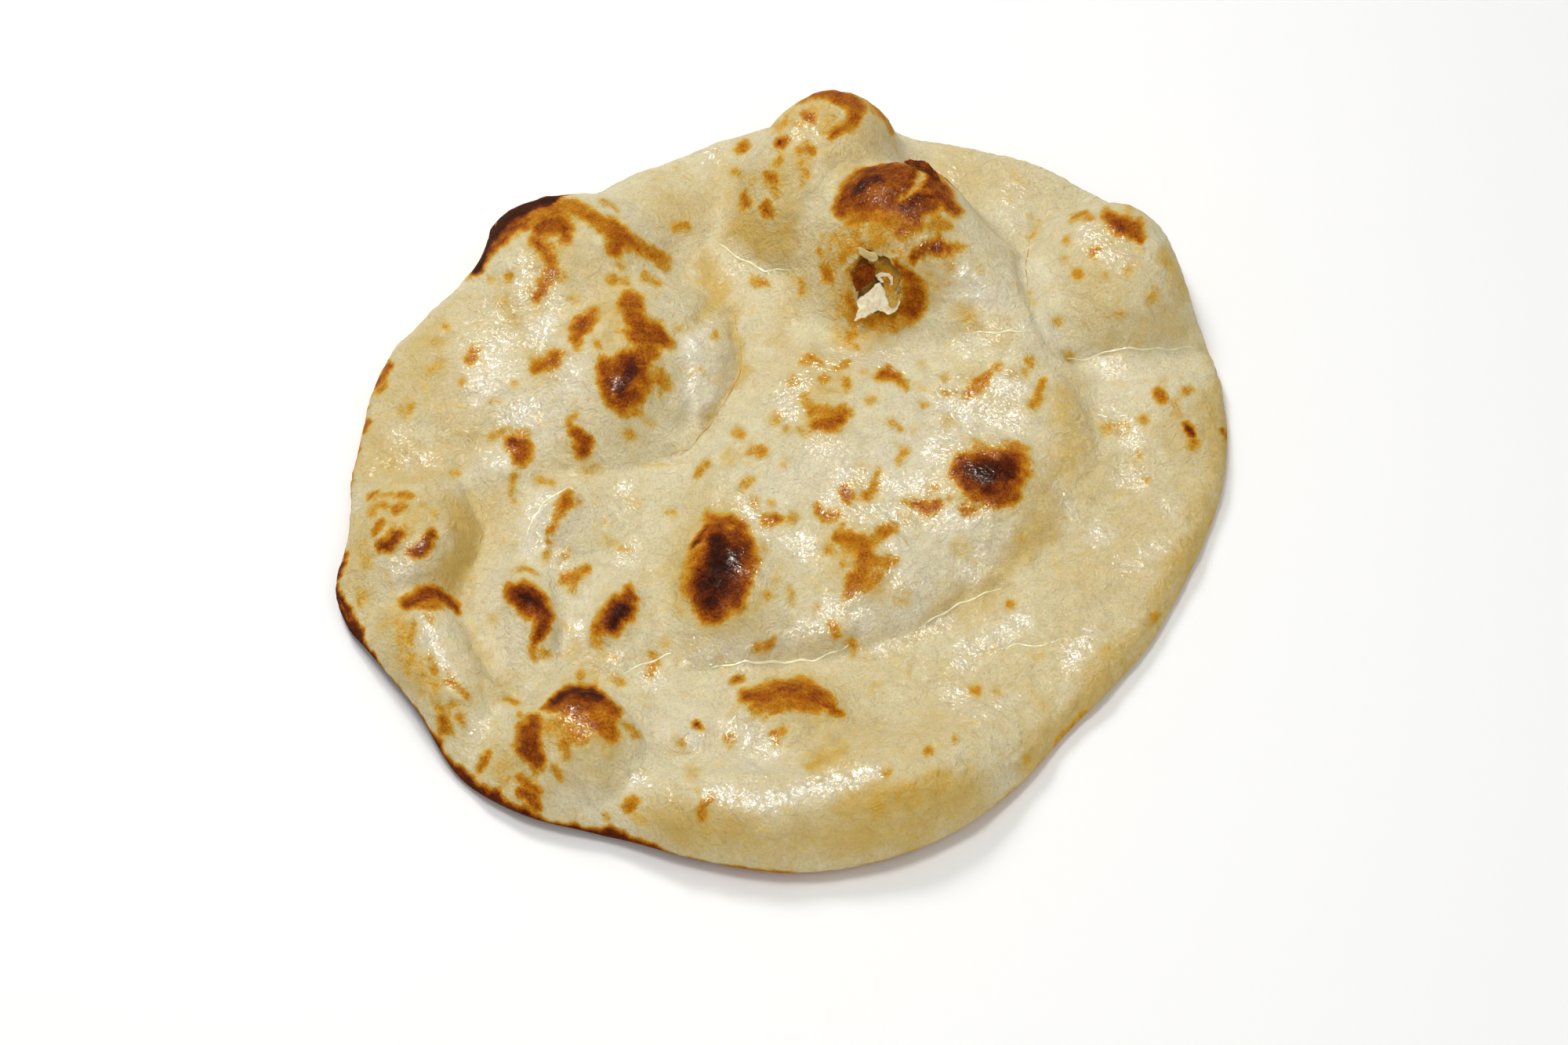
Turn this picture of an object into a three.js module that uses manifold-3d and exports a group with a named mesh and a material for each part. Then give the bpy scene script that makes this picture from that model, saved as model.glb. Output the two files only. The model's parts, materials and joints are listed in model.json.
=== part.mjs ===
// Naan: one piece of leavened flatbread, baked until its top blistered into many bubbles.
// Millimetres, Z up. The bread lies flat on z = 0 and its front edge faces -Y.
// A round sheet of dough is laid out in rings inside an uneven rim, its bubbles are raised,
// the furrows between them are drawn in and one burst pocket is torn open.
import * as THREE from 'three';
import { mergeVertices } from 'three/addons/utils/BufferGeometryUtils.js';
import Module from 'manifold-3d';

const wasm = await Module();
wasm.setup();

// ---- driving dimensions ----
const SHEET_THICKNESS = 7.5; // flat parts of the bread, crust to crust
const RIM_WIDEST = 0.34; // height of the widest line of the edge, as a share of the edge height
const RIM_ROUND = 0.95; // roundness of the edge, as a share of the edge height
const RIM_ROUND_MIN = 4.5;
const RIM_ROUND_MAX = 13;
const UNDER_ROUND = 1.25; // how far the underside takes to reach the table, per mm of edge height
const EASE_RADIUS = 2.4; // size of the disc the top is averaged over
const RINGS = 36; // rings of points from the middle of the top to the rim
const RING_CROWDING = 1.15; // over 1 draws the rings closer together near the rim
const UNDER_ANGLES = [30, 60, 90]; // steps of the quarter round from the rim to the underside
const UNDER_RINGS = [[144, 0.86], [96, 0.68], [48, 0.46], [24, 0.26], [6, 0.1], [1, 0]];

// Rim of the bread seen from above: its reach from the middle every 10 degrees, from +X round to +Y.
const RIM_REACH = [
  118.1, 122.4, 125.9, 130.0, 138.3, 138.8, 138.5, 134.8, 133.5,
  134.0, 126.9, 121.0, 116.7, 120.8, 110.5, 111.9, 115.0, 114.1,
  113.7, 115.2, 122.0, 120.5, 120.5, 125.7, 126.7, 123.1, 125.1,
  127.1, 126.7, 123.5, 117.3, 110.6, 109.0, 109.7, 110.4, 113.5,
];

// Bubbles. x, y: middle; a, b: half-lengths along and across; turn: degrees of a from +X;
// from: height its foot stands at; rise: height above the foot; flat: 2 for a dome,
// more for a flatter top; foot: 1 for a steep foot, more for a gentle one;
// soft: how gradually it melts into what is already there.
const BUBBLES = [
  { name: 'middle', x: 28, y: 8, a: 63, b: 54, turn: 25, from: 6, rise: 9, flat: 4, foot: 1.2, soft: 3 },
  { name: 'middle_front', x: 6, y: -28, a: 44, b: 38, turn: -10, from: 6, rise: 8, flat: 4, foot: 1.2, soft: 4 },
  { name: 'back_knob', x: 11, y: 103, a: 37, b: 24, turn: 68, from: 5, rise: 28.5, flat: 3.2, foot: 1, soft: 3 },
  { name: 'torn_dome', x: 32, y: 73, a: 33, b: 30, turn: 90, from: 6, rise: 34, flat: 2.5, foot: 1, soft: 3 },
  { name: 'torn_shoulder', x: 47, y: 62, a: 30, b: 25, turn: -50, from: 7, rise: 23, flat: 2.3, foot: 1, soft: 8 },
  { name: 'torn_flank', x: 58, y: 50, a: 28, b: 20, turn: -60, from: 7, rise: 16, flat: 2.3, foot: 1, soft: 7 },
  { name: 'right_ridge', x: 66, y: 26, a: 40, b: 18, turn: -66, from: 6, rise: 11, flat: 2.4, foot: 1, soft: 5 },
  { name: 'back_right', x: 92, y: 67, a: 33, b: 28, turn: 80, from: 4, rise: 21, flat: 2.8, foot: 1, soft: 3 },
  { name: 'back_left', x: -62, y: 69, a: 38, b: 34, turn: 40, from: 4, rise: 22, flat: 2.8, foot: 1, soft: 4 },
  { name: 'back_left_low', x: -44, y: 34, a: 38, b: 28, turn: 60, from: 6, rise: 17, flat: 2.6, foot: 1, soft: 9 },
  { name: 'back_left_slope', x: -76, y: 42, a: 44, b: 38, turn: 60, from: 5, rise: 13, flat: 2.4, foot: 1, soft: 7 },
  { name: 'back_swell', x: -40, y: 92, a: 26, b: 18, turn: 25, from: 5, rise: 10, flat: 2.4, foot: 1, soft: 4 },
  { name: 'back_left_side', x: -19, y: 37, a: 21, b: 12, turn: 80, from: 6, rise: 9, flat: 2.6, foot: 1, soft: 3 },
  { name: 'left_dome', x: -96, y: -24, a: 25, b: 20, turn: 80, from: 4, rise: 15, flat: 2.8, foot: 1, soft: 3 },
  { name: 'left_bump', x: -74, y: -3, a: 14, b: 11, turn: 30, from: 6, rise: 5, flat: 2.2, foot: 1, soft: 3 },
  { name: 'left_roll', x: -88, y: -67, a: 29, b: 16, turn: -62, from: 4, rise: 13, flat: 2.8, foot: 1, soft: 3 },
  { name: 'front_left', x: -50, y: -91, a: 24, b: 21, turn: -15, from: 5, rise: 15, flat: 2.6, foot: 1, soft: 3 },
  { name: 'front_roll_left', x: -12, y: -112, a: 36, b: 17, turn: -2, from: 4, rise: 13, flat: 2.8, foot: 1, soft: 4 },
  { name: 'front_roll', x: 26, y: -106, a: 39, b: 22, turn: 14, from: 4, rise: 14, flat: 2.8, foot: 1, soft: 5 },
  { name: 'front_roll_right', x: 48, y: -95, a: 22, b: 18, turn: 45, from: 4, rise: 9, flat: 2.4, foot: 1, soft: 5 },
  { name: 'pale_long', x: -57, y: -19, a: 19, b: 12, turn: 60, from: 6, rise: 7, flat: 2.4, foot: 1, soft: 3 },
  { name: 'pale_left', x: -64, y: -50, a: 22, b: 12, turn: 100, from: 6, rise: 8, flat: 2.4, foot: 1, soft: 3 },
  { name: 'pale_right', x: -41, y: -52, a: 18, b: 13, turn: 70, from: 6, rise: 7, flat: 2.4, foot: 1, soft: 3 },
  { name: 'char_dome', x: -12, y: -44, a: 27, b: 20, turn: 80, from: 8, rise: 9.5, flat: 2.4, foot: 1, soft: 4 },
  { name: 'middle_left', x: -4, y: -2, a: 26, b: 21, turn: 60, from: 8, rise: 8, flat: 2.4, foot: 1, soft: 5 },
  { name: 'middle_bump', x: 21, y: -36, a: 21, b: 18, turn: 0, from: 9, rise: 7, flat: 2.4, foot: 1, soft: 5 },
  { name: 'middle_top', x: 20, y: 14, a: 32, b: 22, turn: 10, from: 9, rise: 7.5, flat: 2.4, foot: 1, soft: 6 },
  { name: 'middle_right', x: 52, y: -8, a: 25, b: 22, turn: 0, from: 8, rise: 9, flat: 2.3, foot: 1, soft: 5 },
  { name: 'middle_back', x: 56, y: 25, a: 20, b: 16, turn: 0, from: 9, rise: 8, flat: 2.3, foot: 1, soft: 5 },
  { name: 'front_small', x: 3, y: -84, a: 22, b: 13, turn: 5, from: 6, rise: 6.5, flat: 2.3, foot: 1, soft: 3 },
  { name: 'front_tiny', x: -23, y: -86, a: 11, b: 10, turn: 0, from: 6, rise: 5, flat: 2.3, foot: 1, soft: 3 },
  { name: 'right_swell', x: 101, y: 19, a: 25, b: 20, turn: 70, from: 5, rise: 6, flat: 2.4, foot: 1, soft: 3 },
];

// Furrows drawn into the top between bubbles: the points each one runs through, width and depth.
const FURROWS = [
  { name: 'left_furrow', run: [[-82, 4], [-79, -11], [-78, -27], [-83, -43]], width: 5, depth: 3 },
  { name: 'middle_furrow', run: [[-12, 36], [-20, 12], [-27, -8], [-31, -34], [-27, -60]], width: 7, depth: 2.5 },
  { name: 'front_furrow', run: [[-25, -66], [1, -65], [20, -62], [36, -55], [58, -41]], width: 7, depth: 2 },
  { name: 'torn_furrow', run: [[3, 56], [14, 45], [27, 41], [44, 47], [66, 46]], width: 6, depth: 2.5 },
];

// Burst pocket in the front of the torn dome: middle, half sizes and backward tilt.
const POCKET = { x: 26.3, y: 53.2, z: 24.6, across: 6.2, along: 8.2, deep: 6, tilt: -37 };
const POCKET_RAGGED = 0.22; // how far the torn edge wanders, as a share of its size

const CRUST_COLOUR = 0xe3cfa0;

// ---- shape functions ----
const clamp = THREE.MathUtils.clamp;
const radians = THREE.MathUtils.degToRad;

// Reach of the rim in a direction, smoothed through the listed values.
function rimReach(theta) {
  const n = RIM_REACH.length;
  const place = ((theta / (2 * Math.PI)) * n + n) % n;
  const i = Math.floor(place);
  const t = place - i;
  const at = (k) => RIM_REACH[(i + k + n) % n];
  const [p0, p1, p2, p3] = [at(-1), at(0), at(1), at(2)];
  const curve = (2 * p0 - 5 * p1 + 4 * p2 - p3) * t + (3 * p1 - p0 - 3 * p2 + p3) * t * t;
  return p1 + 0.5 * t * (p2 - p0 + curve);
}

// Height of one bubble over the table at a point, or null outside its foot.
function bubbleHeight(bubble, x, y) {
  const c = Math.cos(radians(bubble.turn));
  const s = Math.sin(radians(bubble.turn));
  const dx = x - bubble.x;
  const dy = y - bubble.y;
  const along = (dx * c + dy * s) / bubble.a;
  const across = (dy * c - dx * s) / bubble.b;
  const reach = Math.hypot(along, across);
  if (reach >= 1) return null;
  return bubble.from + bubble.rise * (1 - reach ** bubble.flat) ** bubble.foot;
}

// Distance from a point to a run of straight steps.
function distanceToRun(run, x, y) {
  let best = Infinity;
  for (let i = 0; i + 1 < run.length; i += 1) {
    const [x0, y0] = run[i];
    const [x1, y1] = run[i + 1];
    const stepX = x1 - x0;
    const stepY = y1 - y0;
    const share = ((x - x0) * stepX + (y - y0) * stepY) / (stepX * stepX + stepY * stepY);
    const t = clamp(share, 0, 1);
    best = Math.min(best, Math.hypot(x - x0 - t * stepX, y - y0 - t * stepY));
  }
  return best;
}

// Larger of two heights with a soft valley between them.
function softMax(p, q, blend) {
  const h = clamp(0.5 + (0.5 * (p - q)) / blend, 0, 1);
  return q + (p - q) * h + blend * h * (1 - h);
}

// Height of the top crust at a point, before the edge is rounded off.
function topHeight(x, y) {
  let height = SHEET_THICKNESS;
  for (const bubble of BUBBLES) {
    const z = bubbleHeight(bubble, x, y);
    if (z !== null) height = softMax(z, height, bubble.soft);
  }
  for (const furrow of FURROWS) {
    const gap = distanceToRun(furrow.run, x, y) / furrow.width;
    height -= furrow.depth * Math.exp(-2.5 * gap * gap);
  }
  return height;
}

// Height of the top crust averaged over a small disc, so steep feet stay smooth.
function easedTop(x, y) {
  const samples = 6;
  let sum = 2 * topHeight(x, y);
  for (let k = 0; k < samples; k += 1) {
    const turn = (2 * Math.PI * k) / samples;
    sum += topHeight(x + EASE_RADIUS * Math.cos(turn), y + EASE_RADIUS * Math.sin(turn));
  }
  return sum / (samples + 2);
}

// Quarter-circle ease from 0 at the edge to 1 at the given distance inside it.
function roundOff(distance, radius) {
  const t = clamp(distance / radius, 0, 1);
  return Math.sqrt(1 - (1 - t) ** 2);
}

// Edge of the bread in one direction: how far out it is, how tall, and where it is widest.
function edgeAt(theta) {
  const reach = rimReach(theta);
  const height = topHeight(0.94 * reach * Math.cos(theta), 0.94 * reach * Math.sin(theta));
  return { reach, height, widest: RIM_WIDEST * height };
}

// Point of the top crust at a share of the way from the middle to the rim.
function topPoint(theta, share) {
  const edge = edgeAt(theta);
  const x = share * edge.reach * Math.cos(theta);
  const y = share * edge.reach * Math.sin(theta);
  const round = clamp(RIM_ROUND * edge.height, RIM_ROUND_MIN, RIM_ROUND_MAX);
  const lift = roundOff((1 - share) * edge.reach, round);
  return [x, y, edge.widest + (easedTop(x, y) - edge.widest) * lift];
}

// Point of the quarter round between the widest line and the flat underside.
function underEdgePoint(theta, angle) {
  const edge = edgeAt(theta);
  const reach = edge.reach - UNDER_ROUND * edge.widest * (1 - Math.cos(radians(angle)));
  const z = edge.widest * (1 - Math.sin(radians(angle)));
  return [reach * Math.cos(theta), reach * Math.sin(theta), z];
}

// Ring of points evenly spaced in angle, each placed by the given function.
function ringOf(count, place) {
  return Array.from({ length: count }, (_, j) => place((2 * Math.PI * j) / count));
}

// All rings of the bread, from the middle of the top over the rim to the middle of the underside.
function breadRings() {
  const rings = [];
  for (let k = 0; k <= RINGS; k += 1) {
    const share = 1 - (1 - k / RINGS) ** RING_CROWDING;
    rings.push(ringOf(Math.max(1, 6 * k), (theta) => topPoint(theta, share)));
  }
  for (const angle of UNDER_ANGLES) {
    rings.push(ringOf(6 * RINGS, (theta) => underEdgePoint(theta, angle)));
  }
  for (const [count, share] of UNDER_RINGS) {
    rings.push(ringOf(count, (theta) => {
      const reach = share * edgeAt(theta).reach;
      return [reach * Math.cos(theta), reach * Math.sin(theta), 0];
    }));
  }
  return rings;
}

// Closed skin over a list of rings, zipping each ring to the next one by angle.
function skinRings(rings) {
  const positions = [];
  const triangles = [];
  let inner = null;
  for (const ring of rings) {
    const outer = { start: positions.length / 3, count: ring.length };
    ring.forEach((point) => positions.push(...point));
    if (inner) zipRings(inner, outer, triangles);
    inner = outer;
  }
  const skin = new THREE.BufferGeometry();
  skin.setAttribute('position', new THREE.Float32BufferAttribute(positions, 3));
  skin.setIndex(triangles);
  return skin;
}

// Triangles between two rings, always stepping along the one that lags behind.
function zipRings(inner, outer, triangles) {
  const at = (ring, step) => ring.start + (step % ring.count);
  const innerSteps = inner.count === 1 ? 0 : inner.count;
  const outerSteps = outer.count === 1 ? 0 : outer.count;
  let i = 0;
  let j = 0;
  while (i < innerSteps || j < outerSteps) {
    const nextInner = innerSteps ? (i + 0.5) / innerSteps : Infinity;
    const nextOuter = outerSteps ? (j + 0.5) / outerSteps : Infinity;
    if (nextOuter <= nextInner) {
      triangles.push(at(inner, i), at(outer, j), at(outer, j + 1));
      j += 1;
    } else {
      triangles.push(at(inner, i), at(outer, j), at(inner, i + 1));
      i += 1;
    }
  }
}

// Ragged ellipsoid that leaves the torn pocket where it meets the crust.
function pocketCutter() {
  const cutter = mergeVertices(stripped(new THREE.IcosahedronGeometry(1, 3)));
  const position = cutter.attributes.position;
  const point = new THREE.Vector3();
  for (let i = 0; i < position.count; i += 1) {
    point.fromBufferAttribute(position, i).normalize();
    const theta = Math.atan2(point.z, point.x);
    const wander = 1 + POCKET_RAGGED * (0.6 * Math.sin(3 * theta + 1) + 0.4 * Math.sin(7 * theta));
    position.setXYZ(
      i,
      point.x * POCKET.across * wander,
      point.y * POCKET.deep,
      point.z * POCKET.along * wander,
    );
  }
  cutter.rotateX(radians(POCKET.tilt));
  cutter.translate(POCKET.x, POCKET.y, POCKET.z);
  return cutter;
}

// Keep only the point positions of a geometry.
function stripped(geometry) {
  const plain = new THREE.BufferGeometry();
  plain.setAttribute('position', geometry.attributes.position.clone());
  if (geometry.index) plain.setIndex(geometry.index.clone());
  return plain;
}

// Take the cutter's volume out of the body.
function cutOut(body, cutter) {
  const solids = [body, cutter].map((geometry) => new wasm.Manifold(new wasm.Mesh({
    numProp: 3,
    vertProperties: new Float32Array(geometry.attributes.position.array),
    triVerts: new Uint32Array(geometry.index.array),
  })));
  const mesh = solids[0].subtract(solids[1]).getMesh();
  const result = new THREE.BufferGeometry();
  result.setAttribute('position', new THREE.BufferAttribute(new Float32Array(mesh.vertProperties), 3));
  result.setIndex(new THREE.BufferAttribute(new Uint32Array(mesh.triVerts), 1));
  return result;
}

// Put the middle of the bread's width and depth on the origin.
function centred(geometry) {
  geometry.computeBoundingBox();
  const middle = geometry.boundingBox.getCenter(new THREE.Vector3());
  geometry.translate(-middle.x, -middle.y, -geometry.boundingBox.min.z);
  geometry.computeVertexNormals();
  return geometry;
}

// ---- the bread ----
const dough = skinRings(breadRings());
const bread = centred(cutOut(dough, pocketCutter()));

const crust = new THREE.MeshStandardMaterial({ color: CRUST_COLOUR, roughness: 0.5, metalness: 0 });
crust.name = 'crust';

const naan = new THREE.Mesh(bread, crust);
naan.name = 'naan';

const group = new THREE.Group();
group.name = 'naan_bread';
group.add(naan);

export default group;
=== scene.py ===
# %% [markdown]
# # A buttered naan
# A naan is a soft flatbread that blisters on the hot wall of an oven and is then brushed with
# butter. We could sculpt and paint one by hand. Here we start from the plain solid of the bread and
# dress it in code, because every spot can then be placed, checked and moved by a number.
# Everything is in metres, and the bread lies on z = 0 with its front towards -Y.

# %% Load the solid
import bpy
import json
import math
import numpy as np
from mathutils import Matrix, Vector
from mathutils.bvhtree import BVHTree

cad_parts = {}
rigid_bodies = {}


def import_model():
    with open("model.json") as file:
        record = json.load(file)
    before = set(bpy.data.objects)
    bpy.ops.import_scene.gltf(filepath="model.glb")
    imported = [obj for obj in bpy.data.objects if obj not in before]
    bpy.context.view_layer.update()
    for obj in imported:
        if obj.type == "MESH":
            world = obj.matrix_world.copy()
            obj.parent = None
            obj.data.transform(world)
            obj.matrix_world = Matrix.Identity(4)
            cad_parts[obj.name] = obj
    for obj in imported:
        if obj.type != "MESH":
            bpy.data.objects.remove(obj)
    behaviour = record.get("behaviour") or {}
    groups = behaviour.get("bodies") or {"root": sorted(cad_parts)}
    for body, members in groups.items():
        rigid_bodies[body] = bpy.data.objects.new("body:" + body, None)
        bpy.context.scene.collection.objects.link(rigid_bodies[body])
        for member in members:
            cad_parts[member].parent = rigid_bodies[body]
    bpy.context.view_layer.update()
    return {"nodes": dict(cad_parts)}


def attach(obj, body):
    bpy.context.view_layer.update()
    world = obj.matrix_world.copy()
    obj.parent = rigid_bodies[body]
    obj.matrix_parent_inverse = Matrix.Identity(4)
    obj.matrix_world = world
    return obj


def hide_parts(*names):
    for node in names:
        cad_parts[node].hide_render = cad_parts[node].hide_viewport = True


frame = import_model()
MM = 0.001

# %% [markdown]
# ## The camera that took the picture
# A real blister or spot is easiest to place where it was seen. It could be measured in space, but
# a picture gives it in pixels of a 2000 x 1333 frame, so we rebuild the camera: one metre away and
# looking down at 50 degrees. `to_picture` sends points of the bread to pixels, and `picture_ray`
# goes back from a pixel into space.

# %% The camera
PICTURE_WIDTH = 2000
PICTURE_HEIGHT = 1333
FOCAL_PIXELS = 4830.0
CAMERA_ELEVATION = math.radians(50)
CAMERA_DISTANCE = 1.0
CAMERA_TARGET = Vector((-0.0017, -0.0156, 0.0))

forward = Vector((0, math.cos(CAMERA_ELEVATION), -math.sin(CAMERA_ELEVATION)))
upward = Vector((0, math.sin(CAMERA_ELEVATION), math.cos(CAMERA_ELEVATION)))
camera_place = CAMERA_TARGET - forward * CAMERA_DISTANCE


def to_picture(points):
    """Pixel columns, pixel rows and depths of an array of points."""
    offset = points - np.array(camera_place)
    depth = offset @ np.array(forward)
    across = PICTURE_WIDTH / 2 + FOCAL_PIXELS * offset[:, 0] / depth
    down = PICTURE_HEIGHT / 2 - FOCAL_PIXELS * (offset @ np.array(upward)) / depth
    return across, down, depth


def picture_ray(column, row):
    """Direction from the camera through a pixel."""
    side = (column - PICTURE_WIDTH / 2) / FOCAL_PIXELS
    rise = (PICTURE_HEIGHT / 2 - row) / FOCAL_PIXELS
    return (forward + Vector((side, 0, 0)) + upward * rise).normalized()


print("camera stands at", [round(v, 4) for v in camera_place])

# %% [markdown]
# ## Two helpers for the modelling steps
# Working by hand, you click an object and then press a button on it. In code the operators act on
# what is selected, so one helper selects a single piece and another adds a modifier and applies it.

# %% Pick a piece and apply modifiers
def pick(piece):
    """Make one object the only selected and the active one."""
    bpy.ops.object.select_all(action="DESELECT")
    piece.select_set(True)
    bpy.context.view_layer.objects.active = piece


def apply_modifier(piece, kind, **settings):
    """Add a modifier with the given settings and apply it."""
    pick(piece)
    bpy.ops.object.modifier_add(type=kind)
    modifier = piece.modifiers[-1]
    for key, value in settings.items():
        setattr(modifier, key, value)
    bpy.ops.object.modifier_apply(modifier=modifier.name)


print("operators act on", len(bpy.context.selected_objects), "selected objects so far")

# %% [markdown]
# ## Start from the solid
# The bread is one piece with a rim, tall bubbles and a burst pocket, and the solid has those forms.
# We could model them again, but a copy keeps the measured shape. Its loose triangles are welded and
# paired into quads, because a subdivision surface is only smooth on a joined mesh of quads.

# %% Copy and weld the solid
source = frame["nodes"]["naan"]
pick(source)
bpy.ops.object.duplicate()
bread = bpy.context.active_object
bread.name = "bread"
bpy.ops.object.parent_clear(type="CLEAR_KEEP_TRANSFORM")
bread.data.materials.clear()
bpy.ops.object.mode_set(mode="EDIT")
bpy.ops.mesh.select_all(action="SELECT")
bpy.ops.mesh.customdata_custom_splitnormals_clear()
bpy.ops.mesh.remove_doubles(threshold=0.02 * MM)
bpy.ops.mesh.tris_convert_to_quads(face_threshold=math.radians(60), shape_threshold=math.radians(60))
bpy.ops.object.mode_set(mode="OBJECT")
apply_modifier(bread, "SUBSURF", levels=1, subdivision_type="CATMULL_CLARK")
print("bread starts with", len(bread.data.vertices), "points")

# %% [markdown]
# ## Points, and edges that wander
# Nothing on a baked bread has a ruled edge. Noise textures could roughen the edges later, but they
# would not move the relief with the colour. So the pixel places themselves are shifted by a few
# waves before a stroke is measured, and everything painted or pushed wanders alike.

# %% Read the points of a piece
def points_of(piece):
    """Places and normals of a piece's points."""
    count = len(piece.data.vertices)
    places = np.empty(count * 3)
    normals = np.empty(count * 3)
    piece.data.vertices.foreach_get("co", places)
    piece.data.vertices.foreach_get("normal", normals)
    return places.reshape(-1, 3), normals.reshape(-1, 3)


def wobble(column, row, size):
    """Small shifts that make a stroke's edge wander."""
    shift_x = np.sin(0.061 * row + 0.9) + 0.7 * np.sin(0.147 * row + 0.083 * column)
    shift_y = np.sin(0.067 * column + 2.1) + 0.7 * np.sin(0.139 * column - 0.091 * row)
    shift_x += 0.5 * np.sin(0.37 * row - 0.21 * column) + 0.3 * np.sin(0.61 * row + 0.47 * column)
    shift_y += 0.5 * np.sin(0.33 * column + 0.29 * row) + 0.3 * np.sin(0.57 * column - 0.53 * row)
    return column + size * shift_x, row + size * shift_y


_, shifted = wobble(np.arange(200.0), np.zeros(200), 1.0)
print("a stroke edge of size 1 wanders by up to", round(float(shifted.max()), 2), "pixels")

# %% [markdown]
# ## Strokes
# Spots, folds and wet patches are all soft blots or lines. They could be painted with a brush; in
# code a stroke is a strength followed by (column, row, half-width) points that it runs through.
# `run_gap` tells how far each point of the bread lies past the edge of such a run.

# %% Measure the distance to a stroke
def run_gap(column, row, run):
    """Pixels past the edge of a run of points, and the run's half-width there."""
    past = np.full(column.shape, 1e9)
    width = np.ones(column.shape)
    for (x0, y0, r0), (x1, y1, r1) in zip(run, run[1:] or run):
        step_x, step_y = x1 - x0, y1 - y0
        length = max(step_x**2 + step_y**2, 1e-9)
        share = np.clip(((column - x0) * step_x + (row - y0) * step_y) / length, 0, 1)
        here = r0 + (r1 - r0) * share
        beyond = np.hypot(column - x0 - share * step_x, row - y0 - share * step_y) - here
        width = np.where(beyond < past, here, width)
        past = np.minimum(past, beyond)
    return past, width


test_gap, _ = run_gap(np.array([14.0]), np.zeros(1), [(0, 0, 4)])
print("14 pixels from the middle of a spot of half-width 4 is", test_gap[0], "past its edge")

# %% [markdown]
# ## Paint on the skin that was seen
# A spot on a tall bubble sits in front of the sheet behind it, and both share pixels. A plain
# projection would print the spot on both. `Skin` casts a ray through each stroke to find how deep
# it lies, and a stroke only takes hold near that depth and fades away from it.

# %% The skin as the camera sees it
DEPTH_HOLD = 17 * MM
DEPTH_FADE = 7 * MM
TURNED_AWAY = -0.35


class Skin:
    """The points of a piece as the camera sees them."""

    def __init__(self, piece):
        self.places, self.normals = points_of(piece)
        self.column, self.row, self.depth = to_picture(self.places)
        sight = np.array(camera_place) - self.places
        sight /= np.linalg.norm(sight, axis=1)[:, None]
        self.facing = np.einsum("ij,ij->i", self.normals, sight)
        self.tree = BVHTree.FromObject(piece, bpy.context.evaluated_depsgraph_get())

    def depth_at(self, column, row):
        """Depth of the first skin behind a pixel, or None past the edge."""
        hit = self.tree.ray_cast(camera_place, picture_ray(column, row))[0]
        return None if hit is None else (hit - camera_place).dot(forward)

    def paint(self, strokes, fade=0.0, fade_share=0.0, ragged=0.0):
        """One value per point: each stroke's strength, fading out over its edge.

        The fade reaches `fade` pixels plus `fade_share` of the half-width to both sides."""
        column, row = wobble(self.column, self.row, ragged)
        total = np.zeros(len(column))
        for strength, *run in strokes:
            xs, ys, widths = zip(*run)
            reach = max(widths) * (1 + fade_share) + fade + 4 * ragged
            near = (column > min(xs) - reach) & (column < max(xs) + reach)
            near &= (row > min(ys) - reach) & (row < max(ys) + reach) & (self.facing > TURNED_AWAY)
            depths = [d for d in (self.depth_at(x, y) for x, y, _ in run) if d is not None]
            index = np.nonzero(near)[0]
            past, width = run_gap(column[index], row[index], run)
            value = strength * smooth(np.clip(0.5 - past / (2 * (fade + fade_share * width)), 0, 1))
            if depths:
                stray = np.maximum(min(depths) - self.depth[index], self.depth[index] - max(depths))
                value *= smooth(np.clip((DEPTH_HOLD - stray) / DEPTH_FADE, 0, 1))
            total[index] = np.maximum(total[index], value)
        return total


def smooth(value):
    """Ease a 0..1 value in and out."""
    return value * value * (3 - 2 * value)


print("points facing the camera:", int((Skin(bread).facing > 0).sum()))

# %% [markdown]
# ## Keep a value, or turn it into relief
# Colour and relief come from the same strokes. A value could go into an image, but a point
# attribute needs no unwrapping and is read by the materials by its name. For relief the values
# become a vertex group that drives a Displace modifier.

# %% Keep values and move points
def store(piece, name, values):
    """Keep one number per point under a name that the materials can read."""
    layer = piece.data.attributes.new(name=name, type="FLOAT", domain="POINT")
    layer.data.foreach_set("value", values.astype(np.float32))


def weigh_points(piece, name, weights, least):
    """Keep the weights above a least value as a vertex group."""
    group = piece.vertex_groups.new(name=name)
    for index in np.nonzero(weights > least)[0]:
        group.add([int(index)], float(min(weights[index], 1.0)), "REPLACE")


def push_out(piece, name, weights, height):
    """Push points along their normals by a height, weighted per point."""
    weigh_points(piece, name, weights, 0.004)
    apply_modifier(piece, "DISPLACE", vertex_group=name, strength=height, mid_level=0.0)
    piece.vertex_groups.remove(piece.vertex_groups[name])


print("values so far:", len(bread.data.attributes), "attributes")

# %% [markdown]
# ## Small bubbles
# Between the tall bubbles the dough blisters into low mounds, a centimetre or two wide. They could
# be sculpted one by one. Written as strokes, each sits under the spot that browned because it rose.

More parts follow.
